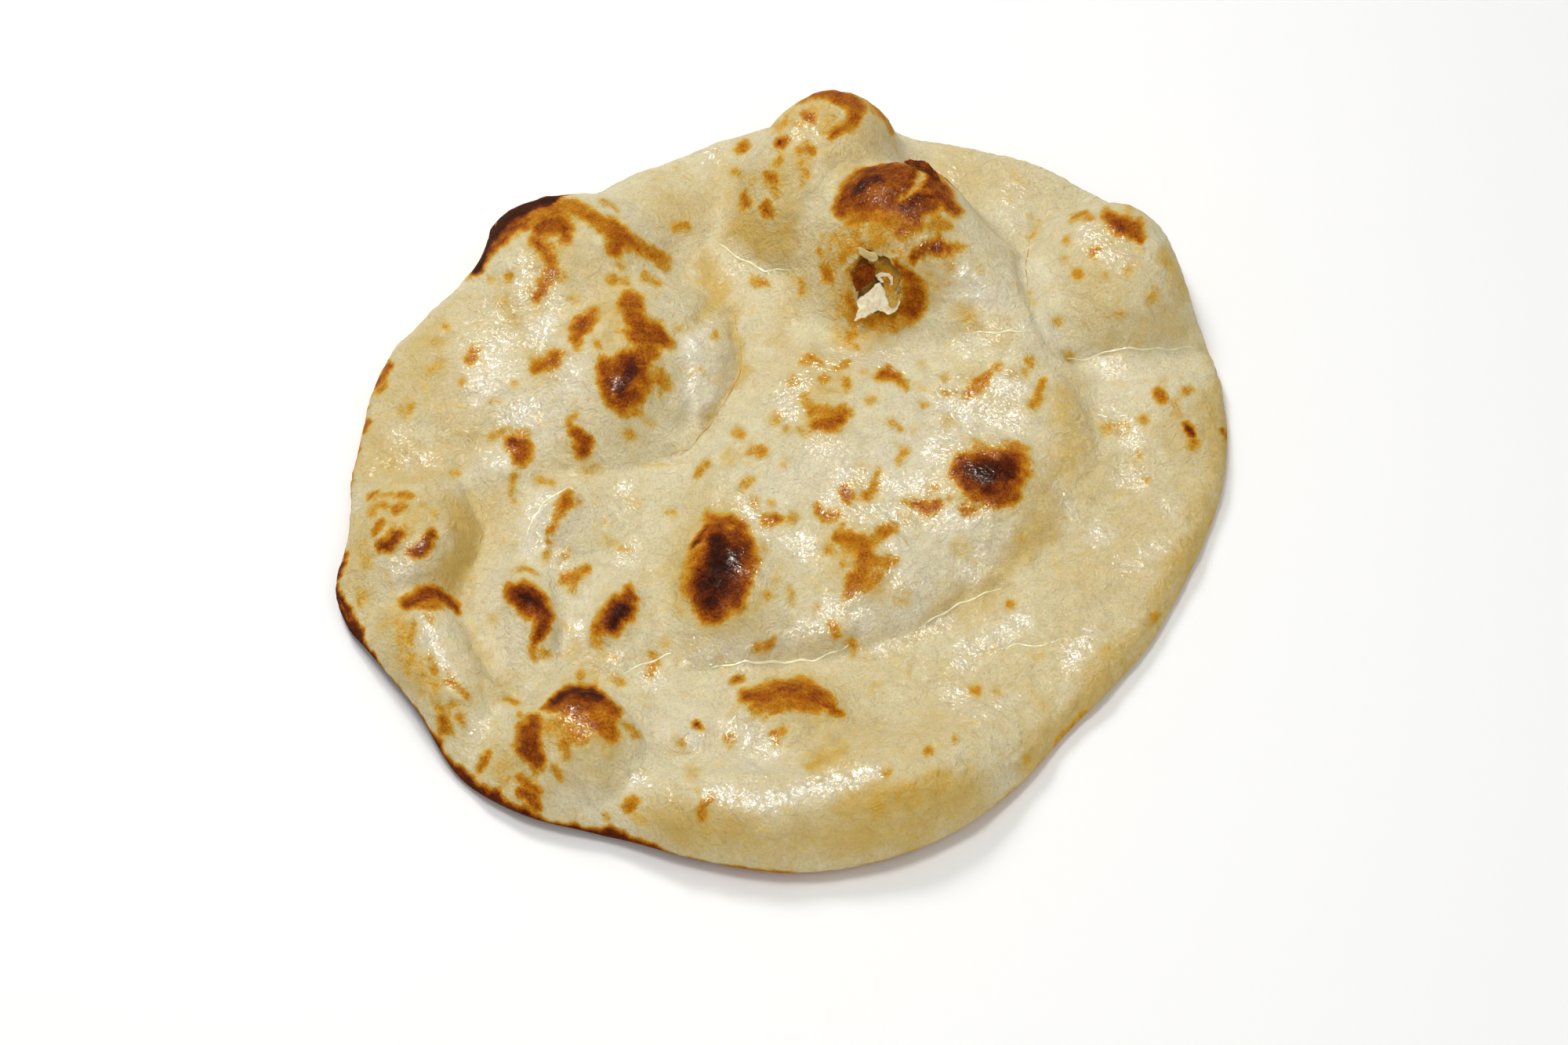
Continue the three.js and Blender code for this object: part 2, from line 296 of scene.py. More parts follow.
# %% Small bubbles
BUMPS = [
    (0.7, (893, 440, 26), (898, 505, 26)), (0.5, (605, 592, 20), (645, 596, 20)),
    (0.35, (1275, 495, 17)), (0.5, (1250, 606, 42), (1278, 606, 42)),
    (0.6, (925, 715, 46), (923, 750, 46)), (0.45, (806, 400, 34), (800, 490, 34)),
    (0.35, (690, 290, 28), (785, 305, 28)), (0.35, (500, 688, 14)), (0.35, (545, 696, 14)),
    (0.5, (546, 775, 22), (552, 800, 22)), (0.5, (668, 762, 18), (690, 800, 18)),
    (0.6, (796, 764, 18), (772, 798, 18)), (0.5, (728, 636, 15), (704, 672, 15)),
    (0.6, (965, 895, 20), (1055, 900, 20)), (0.4, (865, 935, 20), (888, 938, 20)),
    (0.4, (1040, 812, 18), (1074, 806, 18)), (0.3, (1490, 515, 38), (1510, 540, 38)),
    (0.3, (1425, 390, 22)), (0.35, (1105, 690, 20), (1110, 745, 20)),
    (0.3, (1060, 535, 16), (1040, 542, 16)), (0.3, (1185, 646, 12)), (0.25, (1085, 630, 12)),
    (0.3, (740, 740, 14)), (0.25, (975, 822, 14)), (0.3, (742, 565, 14)), (0.3, (662, 575, 14)),
    (0.3, (1430, 286, 20)), (0.35, (740, 910, 34), (755, 925, 34)), (0.3, (676, 945, 14)),
]
print(len(BUMPS), "small bubbles")

# %% [markdown]
# ## Folds
# Where a bubble ends, its skin folds into the sheet, and small wrinkles run off across the dough.
# A knife cut would be too sharp and a texture too flat, so folds are strokes that are pushed in.

# %% Folds
FOLDS = [
    (0.6, (905, 300, 7), (935, 325, 7), (975, 346, 7), (1015, 343, 7)),
    (0.5, (1016, 345, 6), (1010, 385, 6), (1004, 440, 6)),
    (0.6, (1050, 440, 7), (1075, 451, 7), (1120, 453, 7), (1165, 447, 7), (1210, 435, 7),
     (1240, 425, 7)), (0.4, (1215, 430, 5), (1270, 417, 5), (1325, 418, 5)),
    (0.3, (1190, 448, 4), (1250, 440, 4), (1300, 436, 4)),
    (0.9, (1313, 370, 6), (1322, 402, 6), (1345, 445, 6), (1362, 459, 6), (1385, 459, 6),
     (1425, 444, 6)), (0.7, (1425, 444, 6), (1470, 443, 6), (1510, 447, 6), (1545, 442, 6)),
    (0.9, (1310, 372, 6), (1305, 340, 6), (1312, 302, 6), (1326, 270, 6)),
    (0.6, (905, 300, 9), (915, 345, 9), (905, 390, 9), (882, 428, 9)),
    (0.5, (866, 430, 5), (873, 462, 5), (879, 505, 5), (876, 540, 5)),
    (1.25, (935, 398, 5), (943, 440, 5), (945, 472, 5), (930, 502, 5), (905, 540, 5), (880, 574, 5),
     (850, 582, 6)), (0.5, (850, 584, 7), (800, 597, 7), (740, 600, 7), (690, 606, 7)),
    (0.4, (574, 600, 6), (600, 583, 6), (640, 577, 6)),
    (1.0, (600, 624, 7), (613, 642, 7), (618, 670, 7), (611, 700, 7), (596, 732, 7), (586, 760, 7)),
    (0.5, (512, 756, 5), (545, 742, 5), (580, 754, 5), (595, 775, 5)),
    (0.9, (590, 778, 7), (606, 812, 7), (630, 852, 7), (656, 886, 7), (688, 902, 7)),
    (0.5, (628, 800, 6), (646, 840, 6), (655, 872, 6)),
    (0.4, (640, 742, 6), (632, 782, 6), (642, 832, 6)),
    (0.5, (710, 742, 6), (722, 790, 6), (713, 845, 6)),
    (0.4, (746, 820, 6), (770, 832, 6), (812, 812, 6)),
    (0.7, (665, 702, 5), (673, 668, 5), (692, 643, 5), (716, 626, 5), (742, 626, 5)),
    (0.7, (692, 905, 6), (705, 888, 6), (745, 872, 6), (790, 884, 6), (820, 918, 6), (832, 950, 6)),
    (0.5, (832, 950, 7), (818, 986, 7), (780, 1012, 7)),
    (0.4, (655, 925, 7), (646, 970, 7), (658, 1002, 7)),
    (0.8, (888, 856, 6), (950, 845, 6), (1000, 842, 6), (1050, 840, 6), (1080, 830, 6),
     (1092, 812, 6)),
    (0.7, (1110, 826, 6), (1150, 808, 6), (1180, 800, 6), (1205, 785, 6), (1235, 760, 6),
     (1285, 746, 6)), (0.4, (1262, 830, 5), (1300, 821, 5), (1330, 826, 5), (1354, 814, 5)),
    (0.6, (950, 962, 6), (1000, 984, 6), (1040, 965, 6), (1080, 938, 6), (1110, 930, 6)),
    (0.3, (1110, 930, 6), (1200, 919, 6), (1280, 940, 6), (1306, 966, 6)),
    (0.4, (838, 915, 5), (870, 903, 5), (905, 913, 5), (922, 942, 5)),
    (0.4, (930, 872, 5), (924, 912, 5)), (0.4, (832, 960, 6), (880, 976, 6), (940, 966, 6)),
    (0.5, (1338, 460, 7), (1352, 472, 7), (1395, 522, 7), (1404, 560, 7), (1388, 612, 7)),
    (0.3, (1000, 660, 5), (1030, 700, 5), (1040, 712, 5)),
    (0.3, (1350, 610, 5), (1365, 640, 5), (1378, 655, 5)),
    (0.3, (1180, 535, 4), (1230, 525, 4), (1290, 545, 4)),
    (0.3, (520, 880, 5), (560, 900, 5), (600, 905, 5)),
    (0.25, (1180, 350, 5), (1240, 375, 5), (1290, 385, 5)), (0.25, (1200, 400, 4), (1260, 405, 4)),
    (0.25, (620, 430, 4), (680, 425, 4), (720, 400, 4)),
    (0.25, (560, 520, 5), (620, 500, 5), (700, 440, 5)),
    (0.3, (710, 1005, 5), (760, 1030, 5), (790, 1060, 5)),
    (0.25, (940, 560, 5), (900, 620, 5), (870, 680, 5)),
]
print(len(FOLDS), "folds")

# %% [markdown]
# ## Raise and sink
# The two lists become relief here. Real blisters are round on top, so the bump values are eased
# before they push the points out; the folds stay narrow and are pushed in.

# %% Raise the bubbles and sink the folds
BUMP_HEIGHT = 2.6 * MM
BUMP_TOP = 0.7
FOLD_DEPTH = 1.9 * MM

skin = Skin(bread)
bumps = skin.paint(BUMPS, fade_share=0.75, ragged=1.5)
bumps = smooth(np.clip(bumps / BUMP_TOP, 0, 1)) * BUMP_TOP
push_out(bread, "bumps", bumps, BUMP_HEIGHT)
folds = skin.paint(FOLDS, fade_share=0.95, ragged=1.5)
push_out(bread, "folds", folds, -FOLD_DEPTH)
print("raised", int((bumps > 0.1).sum()), "points and sank", int((folds > 0.1).sum()))

# %% [markdown]
# ## Finer skin
# Dough is never even: it swells slowly, blisters finely and wrinkles where the skin dried. Bump
# mapping alone would leave a smooth outline, so we subdivide once more, to under a millimetre
# between points, and move real points with cloud textures.

# %% Finer points and cloud textures
apply_modifier(bread, "SUBSURF", levels=1, subdivision_type="CATMULL_CLARK")


def clouds(name, size, depth):
    """A cloud texture with features of about the given size."""
    texture = bpy.data.textures.new(name, "CLOUDS")
    texture.noise_scale = size
    texture.noise_depth = depth
    return texture


print("bread now has", len(bread.data.vertices), "points")

# %% [markdown]
# ## Three sizes of unevenness
# One noise looks like plaster. Three Displace modifiers of falling size look like dough. They act
# on the top only, because the underside of the bread lies flat on what it rests on.

# %% Uneven skin
places, normals = points_of(bread)
FLAT_BELOW = 3 * MM
upper = np.clip((normals[:, 2] + 0.1) / 0.4, 0, 1) * np.clip(places[:, 2] / FLAT_BELOW, 0, 1)
weigh_points(bread, "top", upper, 0.01)
for name, size, depth, height in [
    ("slow_swells", 22 * MM, 1, 1.6 * MM),
    ("blisters", 7 * MM, 2, 1.2 * MM),
    ("wrinkles", 2.4 * MM, 2, 0.6 * MM),
]:
    apply_modifier(bread, "DISPLACE", texture=clouds(name, size, depth), strength=height,
                   mid_level=0.5, vertex_group="top", texture_coords="LOCAL")
bread.vertex_groups.remove(bread.vertex_groups["top"])
pick(bread)
bpy.ops.object.shade_smooth()
print("bread now has", len(bread.data.polygons), "faces")

# %% [markdown]
# ## Browning
# Skin that touched the hot wall is scorched: a yellow stain first, then golden, orange, brown and
# nearly black. A noise mask gives spots anywhere, but here their places are known, so each one is a
# stroke. Strength 0.3 is a golden stain, 0.5 orange, 0.7 brown and 1 char. First the wide bubble
# at the back left, with its charred rim and its chain of brown patches.

# %% Spots on the back left
BACK_LEFT = [
    (1.3, (612, 336, 6), (620, 316, 7), (634, 292, 8), (655, 270, 9), (680, 256, 8), (708, 250, 5)),
    (0.78, (614, 332, 9), (630, 308, 13), (650, 292, 13), (668, 280, 10)),
    (0.62, (680, 275, 13), (700, 266, 11), (725, 263, 10), (746, 273, 12), (770, 290, 10)),
    (0.72, (690, 288, 13), (712, 285, 16), (722, 294, 11), (722, 306, 7)),
    (0.66, (776, 284, 9), (790, 302, 17), (785, 315, 11)),
    (0.58, (800, 306, 11), (825, 320, 10), (849, 336, 9)),
    (0.62, (685, 305, 10), (697, 317, 9), (706, 330, 9), (704, 344, 9), (693, 360, 9),
     (681, 378, 8)), (0.42, (647, 356, 7)), (0.28, (625, 356, 6)), (0.3, (716, 352, 9)),
    (0.4, (600, 352, 5)), (0.4, (765, 257, 4), (778, 260, 5), (783, 266, 4)),
    (0.48, (862, 289, 6), (876, 288, 6)), (0.35, (793, 336, 7)),
    (0.42, (778, 356, 7), (797, 358, 7)), (0.45, (820, 354, 6), (836, 364, 6)),
    (0.74, (803, 386, 16), (808, 398, 14), (818, 414, 13)),
    (0.72, (815, 427, 16), (835, 428, 19), (848, 436, 12)), (0.72, (826, 446, 16)),
    (0.80, (802, 468, 25), (796, 488, 28), (792, 498, 24)), (0.76, (772, 466, 13), (778, 492, 16)),
    (0.66, (806, 508, 16), (822, 490, 13)), (0.46, (798, 521, 11), (816, 526, 8)),
    (0.46, (836, 480, 13), (848, 492, 10)), (0.36, (842, 506, 7)), (0.35, (764, 440, 9)),
    (0.68, (735, 431, 9), (745, 415, 13), (756, 402, 9)), (0.5, (738, 442, 8)),
    (0.62, (683, 465, 11), (705, 457, 13)), (0.33, (720, 452, 8)),
    (0.84, (735, 555, 9), (742, 566, 14), (742, 579, 9)), (0.35, (728, 540, 7), (738, 528, 6)),
    (0.84, (650, 568, 9), (665, 570, 13), (663, 586, 10)),
    (0.4, (628, 555, 6), (650, 552, 6), (672, 552, 5)),
    (0.33, (655, 605, 6), (655, 630, 6), (657, 646, 4)), (0.45, (571, 418, 6)),
    (0.48, (597, 458, 7), (607, 445, 7)), (0.3, (587, 485, 7)),
    (0.28, (548, 475, 8), (562, 462, 8)), (0.33, (656, 492, 7)), (0.25, (631, 512, 6)),
    (0.6, (483, 501, 4), (489, 488, 5)), (0.38, (802, 552, 9)),
    (0.48, (891, 601, 6), (899, 591, 6)), (0.36, (942, 553, 9)),
    (0.44, (957, 573, 7), (971, 575, 8)), (0.4, (914, 428, 6)), (0.3, (872, 417, 6), (860, 425, 6)),
    (0.95, (467, 518, 4), (472, 498, 5), (485, 477, 4), (497, 464, 3)),
    (0.8, (464, 553, 4), (469, 539, 4)), (0.3, (580, 603, 9)), (0.33, (690, 612, 8), (703, 612, 7)),
    (0.25, (745, 600, 8), (765, 600, 6)), (0.28, (560, 440, 9)), (0.25, (520, 520, 14)),
    (0.2, (640, 385, 12), (655, 410, 10)), (0.2, (730, 380, 10)), (0.24, (830, 540, 9)),
]
print(len(BACK_LEFT), "spots on the back left")

# %% [markdown]
# ## Spots on the knob at the back
# A small upright bubble with an arc of brown round its top and freckles down its front. The arc is
# one long stroke rather than many dots, because the skin scorched along the crest.

# %% Spots on the back knob
BACK_KNOB = [
    (0.68, (1008, 130, 6), (1035, 121, 9), (1060, 118, 10), (1085, 125, 12), (1093, 140, 13),
     (1085, 153, 11), (1072, 163, 9), (1060, 171, 6)),
    (0.8, (1040, 118, 5), (1062, 115, 6), (1080, 118, 5)),
    (0.52, (1102, 125, 5), (1116, 137, 7), (1129, 153, 6), (1135, 168, 4)),
    (0.72, (1026, 150, 7), (1034, 151, 7)), (0.86, (995, 183, 7), (1001, 178, 5)),
    (0.38, (990, 162, 8), (1001, 150, 6)), (0.5, (982, 141, 5), (993, 130, 5)),
    (0.36, (980, 160, 5)), (0.55, (1017, 195, 7), (1028, 190, 7), (1036, 196, 6)),
    (0.38, (1025, 206, 8), (1027, 225, 8), (1024, 238, 5)), (0.7, (985, 225, 10)),
    (0.46, (988, 240, 7), (990, 251, 5)), (0.34, (994, 205, 9)),
    (0.64, (973, 260, 8), (978, 267, 9)), (0.64, (950, 250, 5), (950, 262, 7), (945, 266, 5)),
    (0.64, (943, 191, 7), (950, 187, 7)), (0.42, (941, 221, 8)),
    (0.44, (961, 357, 7), (975, 359, 7)), (0.2, (1005, 270, 18), (1000, 290, 14)),
    (0.2, (1060, 200, 14)), (0.2, (960, 230, 12)),
]
print(len(BACK_KNOB), "spots on the knob")

# %% [markdown]
# ## Spots on the torn dome
# The tallest bubble came nearest to the heat: a dark cap, a ring round its hole and stains below.
# The cap is built from overlapping wide strokes, so that its lower edge stays ragged.

# %% Spots on the torn dome
TORN_DOME = [
    (0.86, (1074, 264, 13), (1088, 244, 18), (1112, 230, 22), (1140, 226, 22), (1168, 224, 18),
     (1188, 230, 15), (1202, 250, 12), (1218, 272, 7)),
    (0.80, (1090, 258, 18), (1122, 252, 22), (1150, 256, 25), (1180, 256, 20)),
    (0.68, (1164, 282, 17), (1150, 294, 12)),
    (0.52, (1084, 278, 11), (1112, 278, 12), (1134, 282, 12)),
    (0.34, (1092, 298, 15), (1118, 302, 17), (1106, 316, 12)),
    (0.44, (1192, 284, 13), (1206, 290, 9)), (0.2, (1150, 300, 12)),
    (0.88, (1168, 326, 7), (1180, 316, 9), (1196, 316, 10), (1212, 321, 7)), (0.46, (1222, 322, 6)),
    (0.72, (1143, 336, 6), (1151, 342, 6)), (0.42, (1228, 315, 7)), (0.55, (1196, 303, 6)),
    (0.9, (1090, 354, 8), (1100, 343, 11), (1112, 349, 9)), (0.75, (1102, 362, 9)),
    (0.62, (1081, 372, 6), (1084, 387, 6), (1091, 399, 5)), (0.46, (1086, 342, 7)),
    (0.76, (1157, 351, 12), (1166, 370, 17), (1163, 391, 17)),
    (0.46, (1158, 403, 15), (1141, 410, 16), (1121, 412, 12), (1104, 411, 9)),
    (0.54, (1148, 392, 12), (1126, 404, 10)), (0.5, (1082, 402, 6), (1088, 412, 7)),
    (0.42, (1090, 421, 9), (1085, 431, 8), (1093, 441, 5)), (0.5, (1049, 322, 6)),
    (0.6, (1052, 340, 8), (1057, 353, 8)), (0.48, (1077, 327, 8)),
    (0.34, (1021, 362, 8), (1024, 375, 7)), (0.3, (1050, 299, 6)), (0.3, (1064, 345, 7)),
    (0.3, (1061, 372, 6)), (0.2, (1210, 345, 14), (1190, 380, 12)), (0.2, (1075, 305, 12)),
    (0.2, (1230, 400, 18)),
]
print(len(TORN_DOME), "spots on the torn dome")

# %% [markdown]
# ## Spots at the back right
# This bubble and the rim below it only caught a few freckles, one of them burnt through. Small
# strokes of different strength keep them uneven, as a stamped pattern would not.

# %% Spots on the back right
BACK_RIGHT = [
    (0.5, (1367, 279, 5), (1378, 274, 7), (1389, 279, 5)),
    (0.76, (1414, 278, 9), (1430, 287, 16), (1446, 291, 13), (1456, 302, 6)), (0.5, (1408, 272, 7)),
    (0.3, (1440, 265, 8)), (0.32, (1363, 305, 8)), (0.55, (1397, 325, 8)), (0.48, (1375, 350, 8)),
    (0.42, (1352, 408, 7)), (0.4, (1317, 301, 5), (1322, 292, 4)), (0.3, (1362, 453, 9)),
    (0.24, (1488, 326, 8), (1494, 346, 7)), (0.32, (1358, 330, 5)),
    (0.3, (1312, 375, 4), (1316, 386, 4)), (0.3, (1407, 355, 6)), (0.22, (1430, 400, 10)),
    (0.22, (1470, 380, 12)), (0.24, (1440, 340, 10)), (0.62, (1478, 500, 7), (1483, 511, 7)),
    (0.3, (1482, 490, 8)), (0.44, (1510, 501, 7), (1519, 497, 5)),
    (0.32, (1500, 514, 6), (1504, 528, 8)), (0.44, (1459, 534, 8)),
    (1.2, (1515, 545, 6), (1520, 552, 5)), (0.58, (1523, 562, 7), (1518, 570, 6)),
    (0.7, (1560, 549, 4), (1562, 561, 4)), (0.3, (1450, 577, 7)),
    (0.26, (1432, 545, 11), (1410, 548, 9)), (0.3, (1462, 612, 6)), (0.22, (1540, 460, 8)),
]
print(len(BACK_RIGHT), "spots at the back right")

# %% [markdown]
# ## Spots in the middle
# Two deep brown blisters, a forked orange stain and a scatter of golden flecks. The blisters get
# several overlapping strokes, because their outline has lobes.

# %% Spots in the middle
MIDDLE = [
    (0.58, (1236, 502, 8), (1247, 488, 11), (1256, 478, 7)), (0.42, (1270, 467, 7)),
    (0.46, (1313, 463, 8)), (0.32, (1305, 478, 7)),
    (0.54, (1329, 486, 5), (1327, 504, 7), (1318, 519, 6)), (0.34, (1205, 503, 6), (1217, 502, 5)),
    (0.3, (1205, 482, 7)), (0.25, (1290, 475, 9)),
    (0.5, (1024, 463, 6), (1035, 459, 7), (1043, 464, 5)), (0.48, (1066, 467, 5), (1078, 463, 6)),
    (0.4, (1011, 487, 9)), (0.46, (1047, 487, 8), (1056, 481, 7)),
    (0.42, (1076, 484, 8), (1079, 494, 5)),
    (0.62, (1120, 481, 8), (1130, 476, 9), (1141, 481, 8), (1152, 491, 6)), (0.26, (1099, 476, 6)),
    (0.34, (1111, 512, 8)), (0.74, (1044, 543, 9), (1062, 538, 11), (1072, 530, 9)),
    (0.52, (1038, 526, 10), (1060, 523, 8), (1082, 523, 8)), (0.42, (1027, 509, 7), (1033, 522, 7)),
    (0.4, (1024, 551, 8)), (0.3, (1004, 548, 8)), (0.32, (990, 533, 10)), (0.26, (1210, 540, 9)),
    (0.34, (1138, 540, 7), (1149, 546, 5)), (0.24, (1175, 465, 6)), (0.28, (1180, 515, 7)),
    (0.34, (1152, 574, 7), (1145, 586, 7)), (0.36, (1119, 604, 6), (1115, 616, 7)),
    (0.25, (1097, 595, 7)), (0.54, (1109, 633, 8), (1118, 621, 7)),
    (0.64, (1077, 621, 7), (1085, 633, 8)),
    (0.82, (1230, 592, 16), (1258, 598, 26), (1280, 600, 26)),
    (0.82, (1222, 602, 11), (1240, 618, 16)),
    (0.74, (1250, 626, 18), (1276, 630, 18), (1292, 634, 13)),
    (0.74, (1282, 588, 18), (1294, 612, 14)), (0.42, (1243, 565, 8), (1256, 569, 7)),
    (0.44, (1293, 571, 8), (1305, 575, 7)), (0.66, (1170, 640, 7), (1182, 648, 10), (1197, 645, 7)),
    (0.32, (1158, 640, 6)), (0.4, (1195, 621, 8)), (0.58, (1231, 651, 8), (1241, 648, 6)),
    (0.3, (1212, 636, 8)), (0.56, (1044, 649, 8), (1053, 658, 8)),
    (0.5, (1053, 658, 8), (1065, 654, 7)), (0.60, (1068, 682, 9), (1084, 689, 13), (1098, 694, 12)),
    (0.60, (1098, 694, 12), (1106, 712, 13), (1100, 732, 12)),
    (0.52, (1112, 690, 10), (1124, 681, 10), (1138, 673, 8)),
    (0.58, (1100, 732, 12), (1088, 746, 13), (1082, 754, 9)),
    (0.54, (1112, 722, 11), (1130, 717, 10), (1140, 716, 6)),
    (0.48, (1104, 746, 12), (1122, 738, 9)), (0.36, (1060, 700, 10)), (0.36, (1079, 719, 9)),
    (0.24, (1155, 660, 10)), (0.3, (1072, 670, 6)),
    (0.86, (912, 682, 19), (924, 706, 33), (916, 742, 34), (910, 764, 28), (906, 780, 18)),
    (0.84, (940, 684, 13), (952, 712, 17), (944, 748, 15), (934, 768, 14)),
    (0.8, (884, 752, 10), (886, 768, 8)), (0.72, (908, 664, 9), (928, 666, 9), (946, 674, 9)),
    (0.6, (905, 654, 5), (900, 664, 6)), (1.1, (881, 697, 3), (889, 683, 4), (901, 671, 3)),
    (0.54, (977, 662, 8), (991, 662, 8)), (0.38, (1009, 662, 9)), (0.34, (974, 697, 8)),
    (0.38, (978, 757, 8)), (0.28, (1007, 752, 6), (1011, 770, 6)), (0.25, (990, 738, 6)),
    (0.58, (967, 827, 7), (978, 822, 8), (987, 817, 6)), (0.46, (1059, 796, 7), (1067, 807, 6)),
    (0.38, (1086, 819, 7), (1091, 832, 6)), (0.32, (855, 655, 8)),
    (0.4, (948, 620, 7), (960, 612, 6)), (0.44, (963, 640, 7)), (0.3, (985, 640, 7)),
    (0.3, (1040, 775, 6)), (0.22, (1000, 590, 8)), (0.22, (1225, 700, 14)), (0.2, (1150, 760, 16)),
    (0.2, (930, 585, 14)), (0.2, (860, 745, 8), (866, 780, 8)),
]
print(len(MIDDLE), "spots in the middle")

# %% [markdown]
# ## Spots on the left
# Two knobs with short dashes of brown, and two commas on the sheet beside them. The dashes are
# thin strokes, so the fading at their ends gives the tapered look.

# %% Spots on the left
LEFT = [
    (0.62, (474, 637, 5), (482, 630, 5)), (0.42, (490, 629, 4), (506, 629, 4)),
    (0.58, (514, 630, 6), (525, 632, 5)), (0.58, (472, 656, 5), (482, 648, 4), (495, 643, 4)),
    (0.64, (502, 649, 6), (514, 645, 6)), (0.74, (477, 679, 5), (484, 667, 6)),
    (0.9, (484, 695, 8), (495, 692, 10), (505, 680, 7)),
    (0.82, (529, 704, 9), (542, 696, 10), (549, 685, 8)), (0.3, (552, 657, 7)),
    (0.34, (516, 668, 7)), (0.26, (464, 700, 10), (470, 722, 9)), (0.25, (460, 765, 12)),
    (0.3, (540, 645, 6)),
    (1.25, (441, 706, 3), (436, 720, 5), (428, 738, 5), (428, 752, 6), (434, 768, 5), (445, 785, 4),
     (452, 798, 3)), (0.84, (518, 769, 10), (536, 760, 9)),
    (0.86, (536, 759, 10), (556, 759, 11), (570, 766, 9), (582, 778, 5)),
    (0.6, (536, 770, 8), (556, 772, 9)), (0.44, (543, 785, 5), (548, 792, 4)),
    (0.4, (526, 798, 6), (523, 813, 7)), (0.46, (549, 844, 6), (557, 857, 6)),
    (0.46, (570, 870, 6), (585, 877, 6), (593, 886, 5)), (0.34, (572, 860, 5)),
    (0.3, (600, 893, 5)), (0.66, (564, 919, 8), (571, 931, 10)), (0.4, (560, 908, 8)),
    (0.52, (587, 911, 6), (592, 919, 5)), (0.4, (575, 898, 9)), (0.36, (537, 885, 6)),
    (0.28, (515, 835, 8), (525, 860, 8)), (0.25, (490, 800, 10)),
    (0.88, (658, 757, 13), (671, 760, 18), (684, 768, 16)), (0.84, (657, 766, 12), (670, 777, 13)),
    (0.86, (690, 780, 14), (691, 798, 12), (687, 811, 9)), (0.6, (683, 821, 6), (682, 836, 5)),
    (0.52, (697, 832, 8)), (0.44, (655, 730, 3), (672, 726, 3), (690, 731, 3)),
    (0.9, (792, 773, 17), (778, 791, 18)), (0.86, (800, 763, 11), (803, 751, 7)),
    (0.72, (801, 785, 9), (763, 803, 10)), (0.44, (759, 815, 7), (768, 823, 6)),
    (0.54, (721, 741, 8), (736, 735, 10), (749, 730, 7)), (0.34, (733, 753, 7)),
    (0.4, (722, 707, 8)), (0.34, (697, 708, 8)), (0.42, (700, 690, 5)),
    (0.64, (727, 632, 8), (720, 645, 9), (712, 656, 8)), (0.62, (707, 665, 7), (700, 674, 6)),
    (0.26, (737, 642, 8)), (0.24, (655, 700, 6)), (0.22, (770, 690, 8), (800, 700, 8)),
    (0.2, (625, 790, 10)), (0.22, (810, 640, 9)), (0.22, (850, 820, 8)),
]
print(len(LEFT), "spots on the left")

# %% [markdown]
# ## Spots at the front
# A bubble with a charred crest and a brown flank, a long arc beside it and stains along the rim.

# %% Spots at the front
FRONT = [
    (0.98, (706, 893, 8), (724, 888, 12), (745, 886, 13), (760, 892, 10)),
    (0.8, (722, 900, 12), (748, 902, 14)), (0.74, (696, 902, 6), (710, 899, 10)),
    (0.74, (764, 896, 13), (782, 908, 10)), (0.62, (742, 912, 16), (766, 918, 20), (780, 934, 14)),
    (0.44, (718, 920, 13), (736, 936, 18)), (0.46, (720, 950, 9), (723, 964, 7)),
    (0.36, (700, 925, 10)), (0.3, (775, 955, 12)),
    (0.84, (682, 916, 9), (677, 935, 15), (676, 955, 17), (684, 971, 11)), (0.46, (662, 950, 9)),
    (0.44, (664, 912, 6)), (0.44, (707, 979, 6), (712, 993, 6)), (1.0, (683, 987, 2)),
    (0.66, (661, 993, 7), (672, 1000, 8), (685, 1007, 6)),
    (0.72, (664, 1012, 8), (678, 1018, 10), (686, 1029, 8)),
    (0.64, (610, 980, 6), (616, 970, 7), (621, 959, 5)), (0.44, (599, 995, 5), (610, 1003, 5)),
    (0.36, (645, 995, 7)), (0.4, (634, 1010, 6)), (0.46, (802, 924, 6), (813, 939, 6)),
    (0.72, (950, 889, 9), (968, 884, 13), (990, 881, 15), (1012, 881, 16), (1034, 886, 15),
     (1052, 895, 12), (1070, 907, 6)), (0.6, (962, 898, 10), (1000, 900, 10), (1040, 902, 9)),
    (0.46, (964, 905, 9), (976, 912, 7)), (0.6, (932, 872, 4), (946, 866, 5)),
    (0.42, (989, 935, 7), (1001, 930, 7)), (0.44, (932, 945, 9)), (0.32, (995, 946, 7)),
    (1.2, (890, 923, 4)), (0.6, (896, 929, 3)), (0.36, (868, 945, 8)), (0.58, (805, 1025, 10)),
    (0.48, (775, 1041, 5)), (0.5, (836, 849, 8), (829, 859, 7)), (0.44, (834, 838, 6)),
    (0.42, (740, 862, 7)), (0.42, (784, 863, 7), (793, 869, 5)), (0.32, (720, 870, 5)),
    (0.4, (760, 868, 5)), (0.48, (645, 895, 5), (656, 897, 5)),
    (0.5, (898, 1041, 8), (895, 1030, 8), (906, 1019, 6)), (0.34, (1128, 987, 9)),
    (0.44, (1185, 959, 8)), (0.42, (1221, 945, 5)), (0.44, (1242, 878, 8)), (0.3, (1270, 882, 6)),
    (0.38, (1288, 773, 8)), (0.3, (1300, 690, 9)), (0.4, (1470, 790, 9)), (0.3, (1310, 970, 9)),
    (0.22, (1190, 1000, 22), (1120, 1030, 20)), (0.2, (1330, 900, 12)), (0.2, (880, 985, 12)),
    (0.22, (1035, 975, 14), (1075, 950, 10)),
]
print(len(FRONT), "spots at the front")

# %% [markdown]
# ## Halos and dark cores
# A scorched spot is not one flat colour. Round it the butter and the heat leave a golden halo, and
# its middle is nearly black. Blurring the spots would soften their edges too, so both are added as
# separate wide or narrow strokes.

